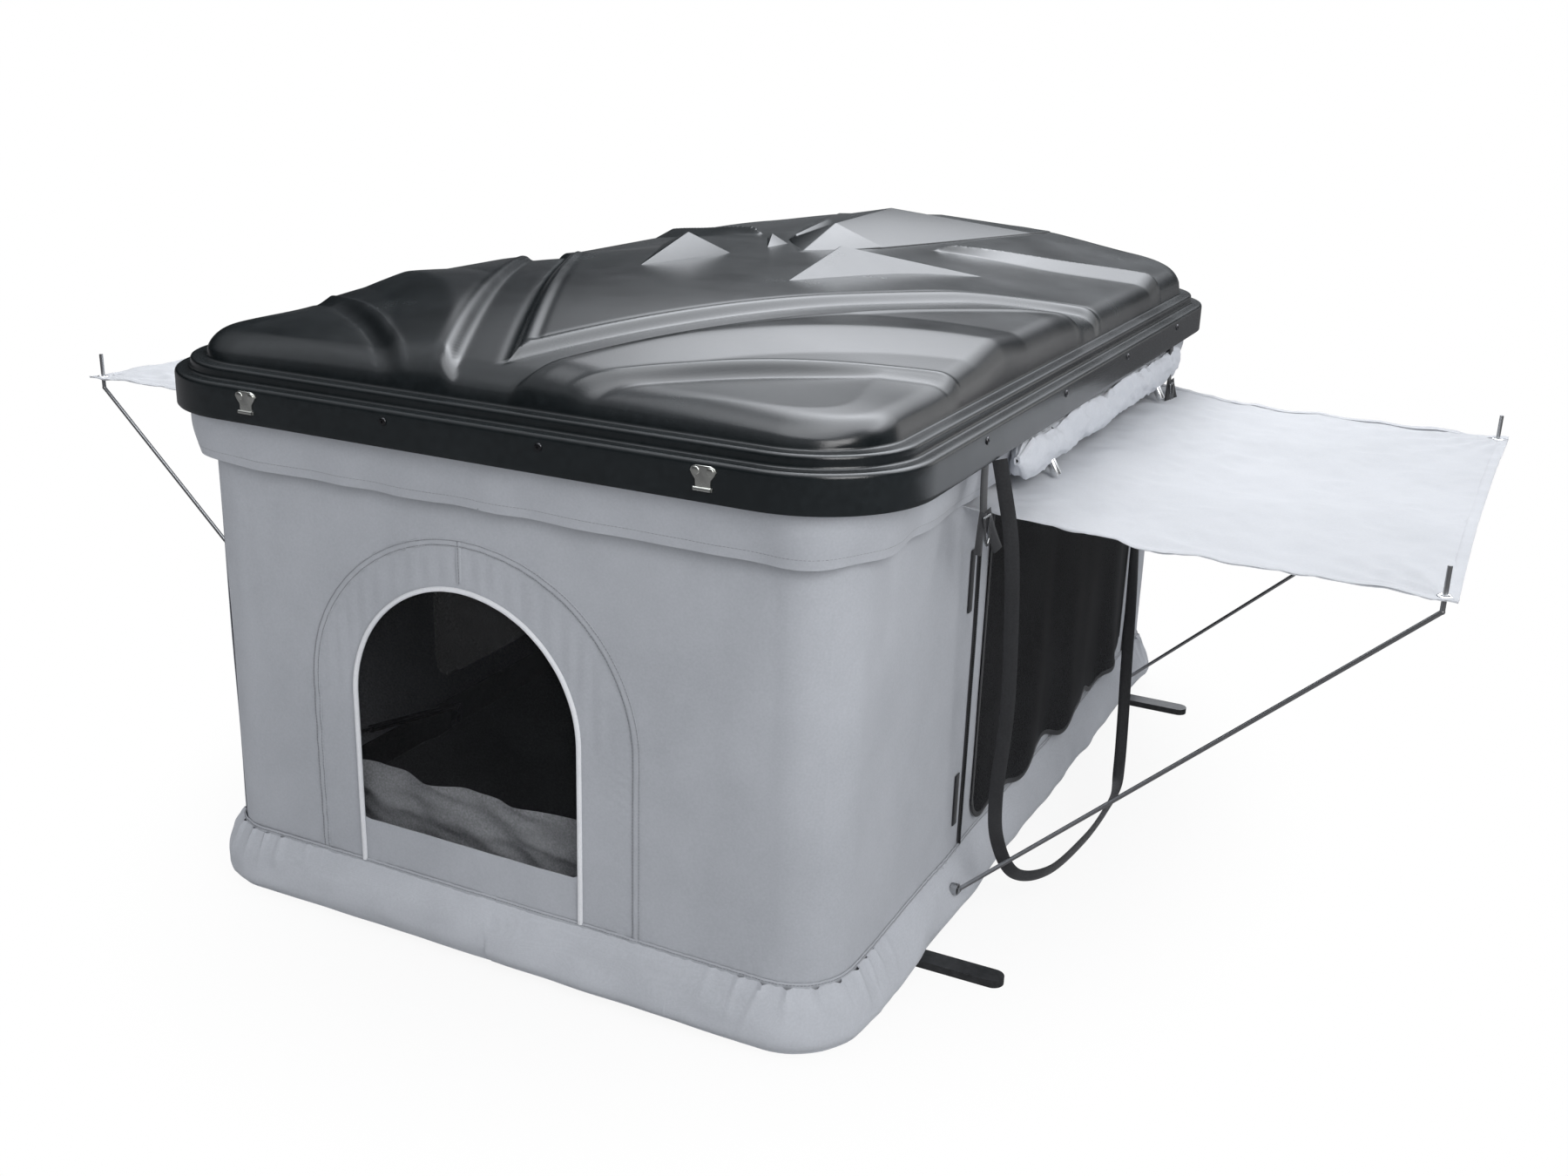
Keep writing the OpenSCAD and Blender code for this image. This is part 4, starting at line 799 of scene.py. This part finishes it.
# TOP SHELL
# One vacuum-formed black plastic lid: a deep rim with two stepped ledges, and above it a
# crown with raised panels, a rear spine and cut facets. The sheet has a fine leathery grain.
shell_plastic = moulded("shell_plastic", (0.0070, 0.0096, 0.0108), (0.0120, 0.0156, 0.0175), 0.0020, 0.21, 0.28,
                        0.00016)
rim_half_x, rim_half_y, rim_round = 0.700, 1.050, 0.200
rim_girth = 4 * (rim_half_x + rim_half_y - 2 * rim_round + rim_round * pi / 2)
rim_profile = [(-0.0056, 0.930), (-0.0056, 0.9185), (-0.0042, 0.9164), (-0.0014, 0.9162), (0.0, 0.9182),
               (0.0, 0.924), (0.0, 0.948), (-0.0002, 0.9695), (-0.0008, 0.9728), (-0.0022, 0.9752),
               (-0.0046, 0.9768), (-0.0075, 0.9772), (-0.0140, 0.9768), (-0.0212, 0.9768), (-0.0238, 0.9773),
               (-0.0258, 0.9790), (-0.0266, 0.9815), (-0.0268, 0.9860), (-0.0270, 0.9905), (-0.0274, 0.9934),
               (-0.0286, 0.9956), (-0.0308, 0.9968), (-0.0334, 0.9971), (-0.0420, 0.9967), (-0.0500, 0.9967),
               (-0.0526, 0.9972), (-0.0543, 0.9986), (-0.0550, 1.0008)]
crown_x, crown_y, crown_round, crown_z = 0.645, 0.995, 0.145, 1.0004
crown_high, front_drop, side_drop, rear_drop = 0.1149, 0.068, 0.0456, 0.016


def slope(t):
    """Rises smoothly from 0 to 1 as t does."""
    return 0.0 if t <= 0 else 1.0 if t >= 1 else t * t * (3 - 2 * t)


def bell(t):
    """A bump of height 1 round 0."""
    return exp(-t * t)


def pace(y, marks):
    """Straight-line reading of a short list of (place, value) marks."""
    for (a, p), (b, q) in zip(marks, marks[1:]):
        if y <= b:
            return p + (q - p) * max(0.0, (y - a) / (b - a))
    return marks[-1][1]


def plateau_lead(a, y):
    """Distance ahead of the curved front edge of the middle panel."""
    edge = 0.211 - 1.89 * 0.060 * log1p(exp((0.580 - a) / 0.060))
    lean = 1 / (1 + exp((a - 0.580) / 0.060))
    return (edge - y) / sqrt(1 + (1.89 * lean) ** 2)


def arc_lead(a, y, start, foot, reach, fade):
    """Distance ahead of a curve that sweeps back from the front edge towards the side."""
    swing = reach * exp(-(a - start) / fade)
    return (foot - swing - y) / sqrt(1 + (swing / fade) ** 2)


def corner_lead(a, y):
    """Distance ahead of the rear edge of a front corner panel."""
    return arc_lead(a, y, 0.140, -0.200, 0.810, 0.750)


def spine_half(y):
    """Half the width of the spine there."""
    return pace(y, ((0.130, 0.002), (0.310, 0.112), (0.561, 0.191), (0.874, 0.265), (1.0, 0.292)))


def crown_height(x, y):
    """Height of the moulded crown over its ledge."""
    a = abs(x)
    low, ridge = corner_lead(a, y), arc_lead(a, y, 0.080, -0.100, 0.880, 0.500)
    lead, second = plateau_lead(a, y), plateau_lead(a - 0.100, y)
    high = crown_high - front_drop * max(0.0, (-0.300 - y) / 0.700) ** 2
    high -= side_drop * (a / 0.6) ** 2.35 * (1 - 0.55 * slope((-y - 0.65) / 0.3))
    high -= rear_drop * slope((a - 0.2) / 0.3) * slope((y + 0.1) / 0.3)
    # The middle panel's edge: a rolled bead, then the sunk channel that runs down to the front.
    high -= 0.011 * (slope((lead + 0.002) / 0.018) - slope((second - 0.006) / 0.016))
    high += 0.0026 * bell((lead + 0.0085) / 0.0058) - 0.0014 * bell((lead + 0.022) / 0.005)
    high += 0.0022 * (bell((second - 0.028) / 0.006) - bell((lead - 0.021) / 0.0045))
    # The lobe ahead of the channel is a low tent with a soft ridge.
    tent = max(0.0, 1 - sqrt(ridge * ridge + 0.00006) / 0.108)
    high += 0.0115 * tent * slope(second / 0.05)
    # The corner panel sits a step lower, behind a rolled bead.
    panel = 0.0400 + 0.006 * slope((0.585 - a) / 0.25) + 0.055 * (y + 0.93)
    high += (min(high - 0.005, panel) - high) * slope((low + 0.002) / 0.022)
    high += 0.0030 * bell((low + 0.008) / 0.0055) - 0.0020 * bell((low - 0.027) / 0.005)
    # A strip on either side of the spine ramps up towards the rear and ends in a sharp edge.
    foot, brow = y - 0.293 - 0.34 * a - 0.75 * max(0.0, a - 0.3) ** 2, 0.219 + 0.72 * a - y
    if a > 0.196 and foot > 0:
        ramp_up = 0.016 * min(1.0, foot / max(0.012, foot + brow)) if brow > 0 else 0.016 * slope(1 + brow / 0.008)
        high += ramp_up * slope((a - 0.200) / 0.05)
    if y > 0.12:
        high -= 0.002 * bell((a - spine_half(y) - 0.004) / 0.006) * slope((0.98 - y) / 0.05)
    return max(high, 0.012)


def crown_inset(x, y):
    """How far a spot lies past the crown's flat middle each way, and how far inside its edge."""
    over_x, over_y = abs(x) - (crown_x - crown_round), abs(y) - (crown_y - crown_round)
    past = hypot(over_x, over_y) if over_x > 0 and over_y > 0 else max(over_x, over_y)
    return over_x, over_y, crown_round - past


shell_bm = bmesh.new()
bmesh.ops.create_grid(shell_bm, x_segments=244, y_segments=372, size=1.0)
for v in shell_bm.verts:
    x = crown_x * (1.10 * v.co.x - 0.10 * v.co.x ** 3)
    y = crown_y * (1.08 * v.co.y - 0.08 * v.co.y ** 3)
    out_x, out_y = (abs(x) - crown_x) / crown_round + 1, (abs(y) - crown_y) / crown_round + 1
    if out_x > 0 and out_y > 0:
        x = copysign(crown_x - crown_round + crown_round * out_x * sqrt(1 - out_y * out_y / 2), x)
        y = copysign(crown_y - crown_round + crown_round * out_y * sqrt(1 - out_x * out_x / 2), y)
    inset = crown_inset(x, y)[2]
    # Grid points are drawn towards the nearest moulded edge, so that the edges come out crisp.
    if inset > 0.02:
        for lead_of in (plateau_lead, corner_lead):
            a = abs(x)
            lead = lead_of(a, y)
            if abs(lead) < 0.06:
                draw = 0.62 * (lead + 0.003) * bell(lead / 0.022) * slope((inset - 0.02) / 0.03)
                x -= copysign((lead_of(a + 0.001, y) - lead) / 0.001 * draw, x)
                y -= (lead_of(a, y + 0.001) - lead) / 0.001 * draw
    over_x, over_y, inset = crown_inset(x, y)
    end = slope((over_y - over_x + 0.1) / 0.2) if over_y > 0 else 0.0
    shoulder = 0.040 + (0.030 if y < 0 else -0.010) * end
    t = min(1.0, max(0.0, inset / shoulder))
    v.co = Vector((x, y, crown_z + crown_height(x, y) * (1 - (1 - t) ** 2.4) ** 0.47))


def set_wedge(spots, faces):
    """A cut solid standing on the crown: spots are (x, y, rise), those with no rise are sunk into it."""
    wedge = bmesh.new()
    made = [wedge.verts.new((x, y, crown_z + (rise or crown_height(x, y) - 0.004))) for x, y, rise in spots]
    for face in faces:
        wedge.faces.new([made[i] for i in face])
    bmesh.ops.holes_fill(wedge, edges=[e for e in wedge.edges if e.is_boundary])
    bmesh.ops.recalc_face_normals(wedge, faces=wedge.faces)
    tops = [e for e in wedge.edges if min(w.co.z for w in e.verts) > crown_z + 0.100 and len(e.link_faces) == 2
            and e.calc_face_angle() > 0.15]
    ease(wedge, tops, 0.0022, 2)
    stamp(shell_bm, shape_of(wedge))


three_cuts = [(0, 1, 3), (1, 2, 3), (2, 0, 3)]
large = ((0.160, -0.270, 0), (0.408, 0.236, 0), (0.100, 0.026, 0), (0.172, -0.042, 0.1576))
for k in (1, -1):
    set_wedge([(k * x, y, rise) for x, y, rise in large], three_cuts)
set_wedge([(-0.078, 0.130, 0), (-0.180, 0.330, 0), (-0.070, 0.240, 0), (-0.116, 0.232, 0.1340)], three_cuts)
set_wedge([(-0.088, 0.310, 0.112), (-0.112, 0.310, 0.110), (-0.134, 0.550, 0.124), (-0.106, 0.550, 0.130),
           (-0.100, 0.318, 0.126), (-0.122, 0.540, 0.140)], [(0, 3, 5, 4), (1, 2, 5, 4), (0, 1, 4), (3, 2, 5)])
# The spine: a pointed nose, a high back, then a low run to the rear, all on a small upright edge.
flanks = [(0.112, 0.310), (0.191, 0.561), (0.265, 0.874), (0.288, 0.965)]
spine = [(0.0, 0.130, 0), (0.0, 0.310, 0.1588), (0.0, 0.625, 0.1668), (0.0, 0.820, 0.1330), (0.0, 0.965, 0.1240)]
for k in (1, -1):
    spine += [(k * x, y, crown_height(x, y) + 0.0030) for x, y in flanks]
    spine += [(k * (x + 0.002), y, 0) for x, y in flanks]
sides = []
for t in (5, 13):
    sides += [(0, t, 1), (t, 2, 1), (t, t + 1, 2), (t + 1, t + 2, 2), (t + 2, 3, 2), (t + 2, t + 3, 4, 3)]
    sides += [(0, t + 4, t)]
    sides += [(t + i + 4, t + i + 5, t + i + 1, t + i) for i in range(3)]
set_wedge(spine, sides + [(12, 8, 4, 16, 20)])
rim_bm = bmesh.new()
wall_ring(rim_bm, [lambda s, q=q: q for q in rim_profile], 620,
          lambda s: wall_line(s, rim_half_x, rim_half_y, rim_round), rim_girth)
bmesh.ops.recalc_face_normals(rim_bm, faces=rim_bm.faces)
make_piece("lid_shell", shell_bm, shell_plastic, "shell", 32, "top_shell")
make_piece("lid_rim", rim_bm, shell_plastic, "shell", 50)

# SCREWS AND LATCH KEEPERS
# Pan-head stainless screws hold the lid's rim to its frame. Chrome butterfly keepers, two
# at each end, take the transit latches.


def solids_of(name):
    """Boxes of the separate solids of a CAD node, as (lowest, highest) corners."""
    found = []
    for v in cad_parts[name].data.vertices:
        for box in found:
            if all(box[0][i] - 0.04 < v.co[i] < box[1][i] + 0.04 for i in range(3)):
                box[0] = Vector(map(min, box[0], v.co))
                box[1] = Vector(map(max, box[1], v.co))
                break
        else:
            found.append([v.co.copy(), v.co.copy()])
    return found


def fittings(name):
    """Each solid of a CAD node on the rim: its middle, the ways it faces (side, up, out) and its sizes along them."""
    for low, high in solids_of(name):
        spot = (low + high) / 2
        endwise = abs(spot.x) / rim_half_x <= abs(spot.y) / rim_half_y
        out = Vector((0, copysign(1, spot.y), 0)) if endwise else Vector((copysign(1, spot.x), 0, 0))
        ways = Vector((0, 0, 1)).cross(out), Vector((0, 0, 1)), out
        yield spot, ways, [(high - low).dot(Vector(map(abs, way))) for way in ways]


def facing(spot, ways):
    """Places a shape that was made lying in XY with Z outward."""
    return Matrix.Translation(spot) @ Matrix(ways).transposed().to_4x4()


head = bmesh.new()
edge = [head.verts.new((r, 0, z)) for r, z in ((0.0066, 0.0), (0.0066, 0.0009), (0.0060, 0.0020), (0.0046, 0.0029),
                                               (0.0028, 0.0033), (0.0020, 0.0032), (0.0018, 0.0012))]
edge += [head.edges.new(pair) for pair in zip(edge, edge[1:])]
bmesh.ops.spin(head, geom=edge, cent=(0, 0, 0), axis=(0, 0, 1), angle=2 * pi, steps=18, use_merge=True)
bmesh.ops.holes_fill(head, edges=[e for e in head.edges if e.is_boundary])
head = shape_of(head)
screw_bm = bmesh.new()
for spot, ways, sizes in fittings("rim_screws"):
    stamp(screw_bm, head, facing(spot + ways[2] * (sizes[2] / 2 - 0.0033), ways))
make_piece("pan_screws", screw_bm, metal("screw_steel", (0.10, 0.10, 0.105), (0.045, 0.045, 0.048)), "shell",
           35, "rim_screws")

keeper_chrome = metal("keeper_chrome", (0.86, 0.865, 0.87), (0.70, 0.71, 0.72))
keeper_bm = bmesh.new()
half = ((0.28, 0.50), (0.45, 0.42), (0.50, 0.28), (0.42, 0.12), (0.30, -0.05), (0.29, -0.30), (0.36, -0.36),
        (0.36, -0.48))
outline = half + tuple((-x, y) for x, y in reversed(half))
for spot, ways, (wide, tall, deep) in fittings("latch_keepers"):
    part = bmesh.new()
    rim = [part.verts.new((x * wide, y * tall, -deep / 2)) for x, y in outline]
    plate = bmesh.ops.extrude_face_region(part, geom=[part.faces.new(rim)])["geom"]
    bmesh.ops.translate(part, vec=(0, 0, deep * 0.62), verts=[g for g in plate if isinstance(g, bmesh.types.BMVert)])
    ease(part, [e for e in part.edges if all(w.co.z > 0 for w in e.verts)], deep * 0.14)
    for k in (-1, 1):
        ear = bmesh.ops.create_uvsphere(part, u_segments=18, v_segments=10, radius=1.0)["verts"]
        bmesh.ops.scale(part, vec=(wide * 0.15, tall * 0.17, deep * 0.36), verts=ear)
        bmesh.ops.translate(part, vec=(k * wide * 0.28, tall * 0.28, deep * 0.12), verts=ear)
    bar = rod(part, 16, tall * 0.09, wide * 0.68)
    bmesh.ops.rotate(part, cent=(0, 0, 0), matrix=Matrix.Rotation(pi / 2, 3, "Y"), verts=bar)
    bmesh.ops.translate(part, vec=(0, -tall * 0.40, deep * 0.16), verts=bar)
    stamp(keeper_bm, shape_of(part), facing(spot, ways))
make_piece("butterfly_keepers", keeper_bm, metal("keeper_zinc", (0.86, 0.87, 0.82), (0.60, 0.61, 0.57)), "shell",
           35, "latch_keepers")

# VALANCE
# A canvas weather flap stapled inside the lid's rim. It hangs over the top of the walls
# with a bound, slightly frilled lower edge. The binding is real, but its dark colour is
# painted shadow: the thin shadow line under the flap's edge.
valance_top, valance_foot, valance_rows = 0.9285, 0.827, 13
valance_fold = (0.93, 0.36)


def valance_row(t):
    """The row of the valance that share of the way down, as for the skirt."""
    def row(s):
        near = corner_near(s)
        frill = sin(s * 37 + 2.5 * wander(s * 3, 1.0)) * (0.0025 + 0.003 * near) * t
        slack = 0.0035 * wander(s * 5.0, t * 1.3, 21.0) + 0.002 * wander(s * 17.0, t * 2.0, 25.0)
        fold = 0.0375 - 0.0175 * t + 0.005 * sin(pi * t) + (frill + slack) * min(1.0, t * 2.2)
        drop = 0.0014 * wander(s * 6.0, 3.0) + 0.003 * near * sin(s * 31 + 1.0)
        return fold, valance_top - (valance_top - valance_foot) * t + drop * t * t
    return row


valance_bm = bmesh.new()
wall_ring(valance_bm, [valance_row(i / (valance_rows - 1)) for i in range(valance_rows)], 760)
thicken(valance_bm)
valance = make_piece("valance_canvas", valance_bm, canvas, "shell", stands_for="valance",
                     fold=valance_fold)
hem_bm, hem_stitch_bm = bmesh.new(), bmesh.new()
round_lid = [girth * i / 720 for i in range(721)]
raise_fold(hem_bm, [off_row(valance_row(1.0), s, 0.0005, 0.003) for s in round_lid], 0.006, 0.0012)
lay_stitches(hem_stitch_bm, [off_row(valance_row(0.84), s, 0.0006) for s in round_lid], 0.0064)
# The binding's dark colour is painted shadow: the thin shadow line under the flap's edge.
make_piece("valance_binding", hem_bm, cloth("binding_painted_shadow", (0.14, 0.145, 0.155), (0.085, 0.09, 0.095), 0.001, 0.75),
           "shell", 60, fold=valance_fold)
make_piece("valance_stitches", hem_stitch_bm, thread, "shell", 60, fold=valance_fold)

# ROLLED DOOR FLAPS
# The pale inner door flap is rolled up under the rim over each door, in about three loose
# turns, and hangs crumpled between its two toggles.
pale = cloth("canvas_pale", (0.66, 0.68, 0.72), (0.56, 0.58, 0.62), 0.0013, 0.75, 0.0003, 0.1)
roll_thick, roll_tall, roll_turns, roll_fold = 0.026, 0.0425, 3.1, (0.916, 0.35)
for side, k in both_sides:
    low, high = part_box("roll_" + side)
    middle = (low + high) / 2 + Vector((k * 0.006, 0, 0.004))

    def place(t, u):
        y = low.y + 0.004 + (high.y - low.y - 0.008) * u
        a = t * roll_turns * 2 * pi
        pinch = 1 - 0.09 * sum(bell((y - at) / 0.035) for at in (-0.234, 0.534))
        lump = 1 + 0.16 * wander(y * 8, cos(a) * 1.3, sin(a) * 1.3)
        across, up = cos(a + y * 7), sin(a + y * 7)
        lump += 0.15 * (0.5 - abs(wander(y * 15, across * 1.6, up * 1.6 + 4)) * 2)
        lump += 0.09 * (0.5 - abs(wander(y * 34, across * 3, up * 3 + 9)) * 2)
        close = min(u, 1 - u) * (high.y - low.y)
        radius = (0.30 + 0.64 * t) * pinch * lump * (1 - 0.8 * bell(close / 0.018))
        sag = 0.003 * sin(y * 17) - 0.002
        return Vector((middle.x + k * roll_thick * radius * cos(a + 0.4), y,
                       middle.z - sag + roll_tall * radius * sin(a + 0.4)))

    roll = make_piece("rolled_flap_" + side, cloth_grid(150, 210, place, 0.0011), pale, "shell",
                      stands_for="roll_" + side, fold=roll_fold)

# ROLL TOGGLES
# Each roll is held by two black elastic loops, each closed with a bright metal toggle.
barrel = bmesh.new()
rod(barrel, 20, 0.0088, 0.034)
ease(barrel, [e for e in barrel.edges if abs(e.verts[0].co.z - e.verts[1].co.z) < 1e-6], 0.0022)
barrel = shape_of(barrel)
toggle_bm, loop_bm = bmesh.new(), bmesh.new()
for low, high in solids_of("roll_toggles"):
    centre = (low + high) / 2
    k = 1.0 if centre.x > 0 else -1.0
    roll_low, roll_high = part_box("roll_right" if k > 0 else "roll_left")
    spot, size = (roll_low + roll_high) / 2, (roll_high - roll_low) / 2
    spot.y = centre.y
    turns = [pi * (0.62 - 2 * 0.92 * i / 48) for i in range(49)]
    spokes = [Vector((k * size.x * cos(a), 0, size.z * sin(a))) for a in turns]
    raise_fold(loop_bm, [(spot + p, p.normalized()) for p in spokes], 0.012, 0.0016)
    hang = Matrix.Translation(spot + Vector((k * 0.020, 0, -0.040)))
    stamp(toggle_bm, barrel, hang @ Matrix.Rotation(-k * 0.5, 4, "Y"))
make_piece("toggle_loops", loop_bm, cloth("elastic_black", (0.03, 0.031, 0.033), (0.015, 0.015, 0.016), 0.0012, 0.8),
           "shell", 60, fold=roll_fold)
make_piece("toggle_barrels", toggle_bm, keeper_chrome, "shell", 35, "roll_toggles")

# AWNINGS
# The outer door flaps, propped out flat as awnings. Pale polycotton with a doubled hem and
# a bright eyelet at each outer corner; the cloth creases from the corners that hold it.
awn_root, awn_reach, awn_near, awn_far = 0.6238, 0.785, -0.511, 0.720
awn_high, awn_low, awn_long = 0.808, 0.783, awn_far - awn_near
eyelet_x, eyelet_in = 1.388, 0.020
awning_pale = cloth("awning_pale", (0.60, 0.616, 0.648), (0.53, 0.546, 0.575), 0.0013, 0.7, 0.0003, 0.08)


def awning_point(u, v):
    """Point of the awning, u out from the wall and v from front to rear, on the right side."""
    y = awn_near + awn_long * v
    pull = 0.008 * sin(pi * v) * u * u
    tuck = 0.012 * sin(pi * u) * (1 - 2 * v)
    z = awn_high + (awn_low - awn_high) * slope(u / 0.55)
    z -= 0.010 * sin(pi * v) * sin(pi * min(1.0, u * 1.05)) + 0.006 * sin(pi * v) * u
    crease = 0.0
    for corner, way in ((0.0, 1.0), (1.0, -1.0)):
        away = hypot((1 - u) * awn_reach, (v - corner) * awn_long)
        bearing = atan2((v - corner) * way * 1.57, 1 - u + 1e-6)
        crease += 0.0032 * sin(bearing * 19 + 1.7 * corner) * exp(-away / 0.34) * min(1.0, away / 0.07)
    z += crease + 0.008 * wander(u * 3.2, v * 4.6, 31.0) + 0.0034 * wander(u * 9.0, v * 13.0, 35.0)
    z += 0.0075 * (0.4 - abs(wander(u * 6.0 + v * 3, v * 10.0 - u * 3, 41.0)))
    z += 0.0042 * (0.4 - abs(wander(u * 15.0, v * 21.0, 45.0)))
    return Vector((awn_root + awn_reach * u - pull, y + tuck, z))


ring = bmesh.new()
bead = bmesh.ops.create_circle(ring, segments=10, radius=0.0026)["verts"]
bmesh.ops.rotate(ring, cent=(0, 0, 0), matrix=Matrix.Rotation(pi / 2, 3, "X"), verts=bead)
bmesh.ops.scale(ring, vec=(1.3, 1, 0.9), verts=bead)
bmesh.ops.translate(ring, vec=(0.0092, 0, 0), verts=bead)
bmesh.ops.spin(ring, geom=bead + list(ring.edges), cent=(0, 0, 0), axis=(0, 0, 1), angle=2 * pi, steps=28,
               use_merge=True)
ring, ring_bm = shape_of(ring), bmesh.new()
for side, k in both_sides:
    def place(u, v):
        spot = awning_point(u, v)
        return Vector((k * spot.x, spot.y, spot.z))

    awning = make_piece("awning_sheet_" + side, cloth_grid(120, 180, place, canvas_thick), awning_pale, "shell",
                        stands_for="awning_" + side)
    edge_bm = bmesh.new()
    reaches = [0.02 + 0.98 * i / 80 for i in range(81)]
    for edge in ([(u, 0.008) for u in reaches], [(0.988, i / 100) for i in range(101)], [(u, 0.992) for u in reaches]):
        for face in (1.0, -1.0):
            line = [(place(u, v) + Vector((0, 0, face * 0.0006)), Vector((0, 0, face))) for u, v in edge]
            raise_fold(edge_bm, line, 0.019, 0.0012)
    edge_hem = make_piece("awning_hem_" + side, edge_bm, awning_pale, "shell", 60)
    for piece in (awning, edge_hem):
        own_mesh(piece)
    # An eyelet keeps to its rod tip's own line, which the CAD sets.
    for v in (eyelet_in / awn_long, 1 - eyelet_in / awn_long):
        z = awning_point(1 - eyelet_in / awn_reach, v).z
        stamp(ring_bm, ring, Matrix.Translation((k * eyelet_x, awn_near + awn_long * v, z)))
eyelets = make_piece("awning_eyelets", ring_bm, keeper_chrome, "shell", 60)
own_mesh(eyelets)

# PROP RODS AND SOCKETS
# Sprung steel rods plug into eyeleted sockets at the foot of the wall and hook up through
# the awning's eyelets.
rod_steel = moulded("rod_steel", (0.44, 0.445, 0.45), (0.42, 0.425, 0.43), 0.05, 0.33, 0.37, 0.00001, 1.0)
coat(rod_steel, *["prop_rod_" + k for k in corners])
coat(moulded("eyelet_metal", (0.52, 0.53, 0.54), (0.40, 0.41, 0.42), 0.002, 0.25, 0.4, 0.0001, 1.0), "rod_sockets")

# PULL STRAP
# A flat black webbing strap, sewn inside the rim, that hangs in a long loop beside the
# right-hand door and comes back to the net's far top corner. The lid is pulled down by it.
strap_wide, strap_thick, strap_steps = 0.025, 0.002, 10
strap_marks = [(0.697, -0.552, 0.911), (0.708, -0.548, 0.860), (0.726, -0.545, 0.770), (0.736, -0.542, 0.640),
               (0.740, -0.536, 0.470), (0.728, -0.520, 0.300), (0.724, -0.474, 0.190), (0.748, -0.430, 0.112),
               (0.784, -0.330, 0.080), (0.802, -0.160, 0.070), (0.804, -0.020, 0.068), (0.800, 0.080, 0.076),
               (0.790, 0.135, 0.110), (0.776, 0.185, 0.190), (0.758, 0.240, 0.300), (0.728, 0.345, 0.450),
               (0.690, 0.470, 0.610), (0.648, 0.580, 0.735), (0.6241, 0.622, 0.772)]
strap_marks = [Vector(p) for p in strap_marks]
last, strap_path = len(strap_marks) - 1, []
for i in range(last):
    p0, p1, p2, p3 = (strap_marks[min(max(i + j, 0), last)] for j in (-1, 0, 1, 2))
    for t in [j / strap_steps for j in range(strap_steps)]:
        strap_path.append(0.5 * (2 * p1 + (p2 - p0) * t + (2 * p0 - 5 * p1 + 4 * p2 - p3) * t * t
                                 + (3 * p1 - 3 * p2 + p3 - p0) * t ** 3))
strap_path.append(strap_marks[-1])
strap_line = []
for i, p in enumerate(strap_path):
    along = (strap_path[min(i + 1, len(strap_path) - 1)] - strap_path[max(i - 1, 0)]).normalized()
    hung, sewn = (Vector(face).cross(along).normalized() for face in ((0.43, -0.9, 0), (1, 0, 0)))
    out = along.cross(hung.lerp(sewn, slope((i / strap_steps - last + 4) / 3)).normalized())
    strap_line.append((p - out * strap_thick / 2, out))
strap_bm = bmesh.new()
raise_fold(strap_bm, strap_line, strap_wide, strap_thick)
webbing = cloth("webbing_black", (0.030, 0.031, 0.034), (0.011, 0.011, 0.012), 0.0024, 0.6, 0.0006)
strap = make_piece("pull_strap_webbing", strap_bm, webbing, "base", 50, "pull_strap",
                   fold=(0.0458, 0.132))
strap_length = sum((b - a).length for a, b in zip(strap_path, strap_path[1:]))
tuple(strap_path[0])
[tuple(p) for p in strap_path]

# HOOK STRAPS
# Short webbing tabs under the right-hand rim, each with a bent wire hook and two loose tails.
tab_bm, wire_bm = bmesh.new(), bmesh.new()
for low, high in solids_of("hook_straps"):
    # Of a strap's two solids, only the upper one, which hangs from the rim, is drawn from.
    if high.z < 0.91:
        continue
    x, y, top = high.x, (low.y + high.y) / 2, high.z
    shares = [i / 14 for i in range(15)]
    tab = [(Vector((x - 0.001 + 0.004 * t ** 2, y, top - 0.088 * t)), Vector((1, 0, 0))) for t in shares]
    raise_fold(tab_bm, tab, 0.034, 0.002)
    for way, drop, wide, lean in ((-1, 0.064, 0.020, 0.004), (1, 0.070, 0.022, 0.016)):
        tail = [(Vector((x + 0.0045 + lean * t ** 1.5, y + way * (0.008 + 0.024 * t), top - 0.072 - drop * t)),
                 Vector((0.94, -0.34, 0))) for t in shares]
        raise_fold(tab_bm, tail, wide, 0.0018)
    # The hook is a wire triangle with its wide side through the tab's loop.
    bend = [Vector((x, y, top - 0.088)) + Vector(p) for p in ((0.008, -0.014, 0.008), (0.008, 0.014, 0.008),
            (0.011, 0.009, -0.030), (0.011, 0.002, -0.040), (0.010, -0.006, -0.030))]
    for p, q in zip(bend, bend[1:] + bend[:1]):
        rung = rod(wire_bm, 10, 0.0026, (q - p).length)
        lie = Matrix.Translation((p + q) / 2) @ (q - p).to_track_quat("Z", "Y").to_matrix().to_4x4()
        bmesh.ops.transform(wire_bm, matrix=lie, verts=rung)
        ball = bmesh.ops.create_icosphere(wire_bm, subdivisions=2, radius=0.0021)["verts"]
        bmesh.ops.translate(wire_bm, vec=p, verts=ball)
hook_fold = (0.916, 0.24)
make_piece("hook_tabs", tab_bm, webbing, "shell", 50, "hook_straps", hook_fold)
bmesh.ops.recalc_face_normals(wire_bm, faces=wire_bm.faces)
hook_steel = metal("hook_steel", (0.30, 0.305, 0.31), (0.20, 0.205, 0.21))
make_piece("hook_wires", wire_bm, hook_steel, "shell", 60, fold=hook_fold)
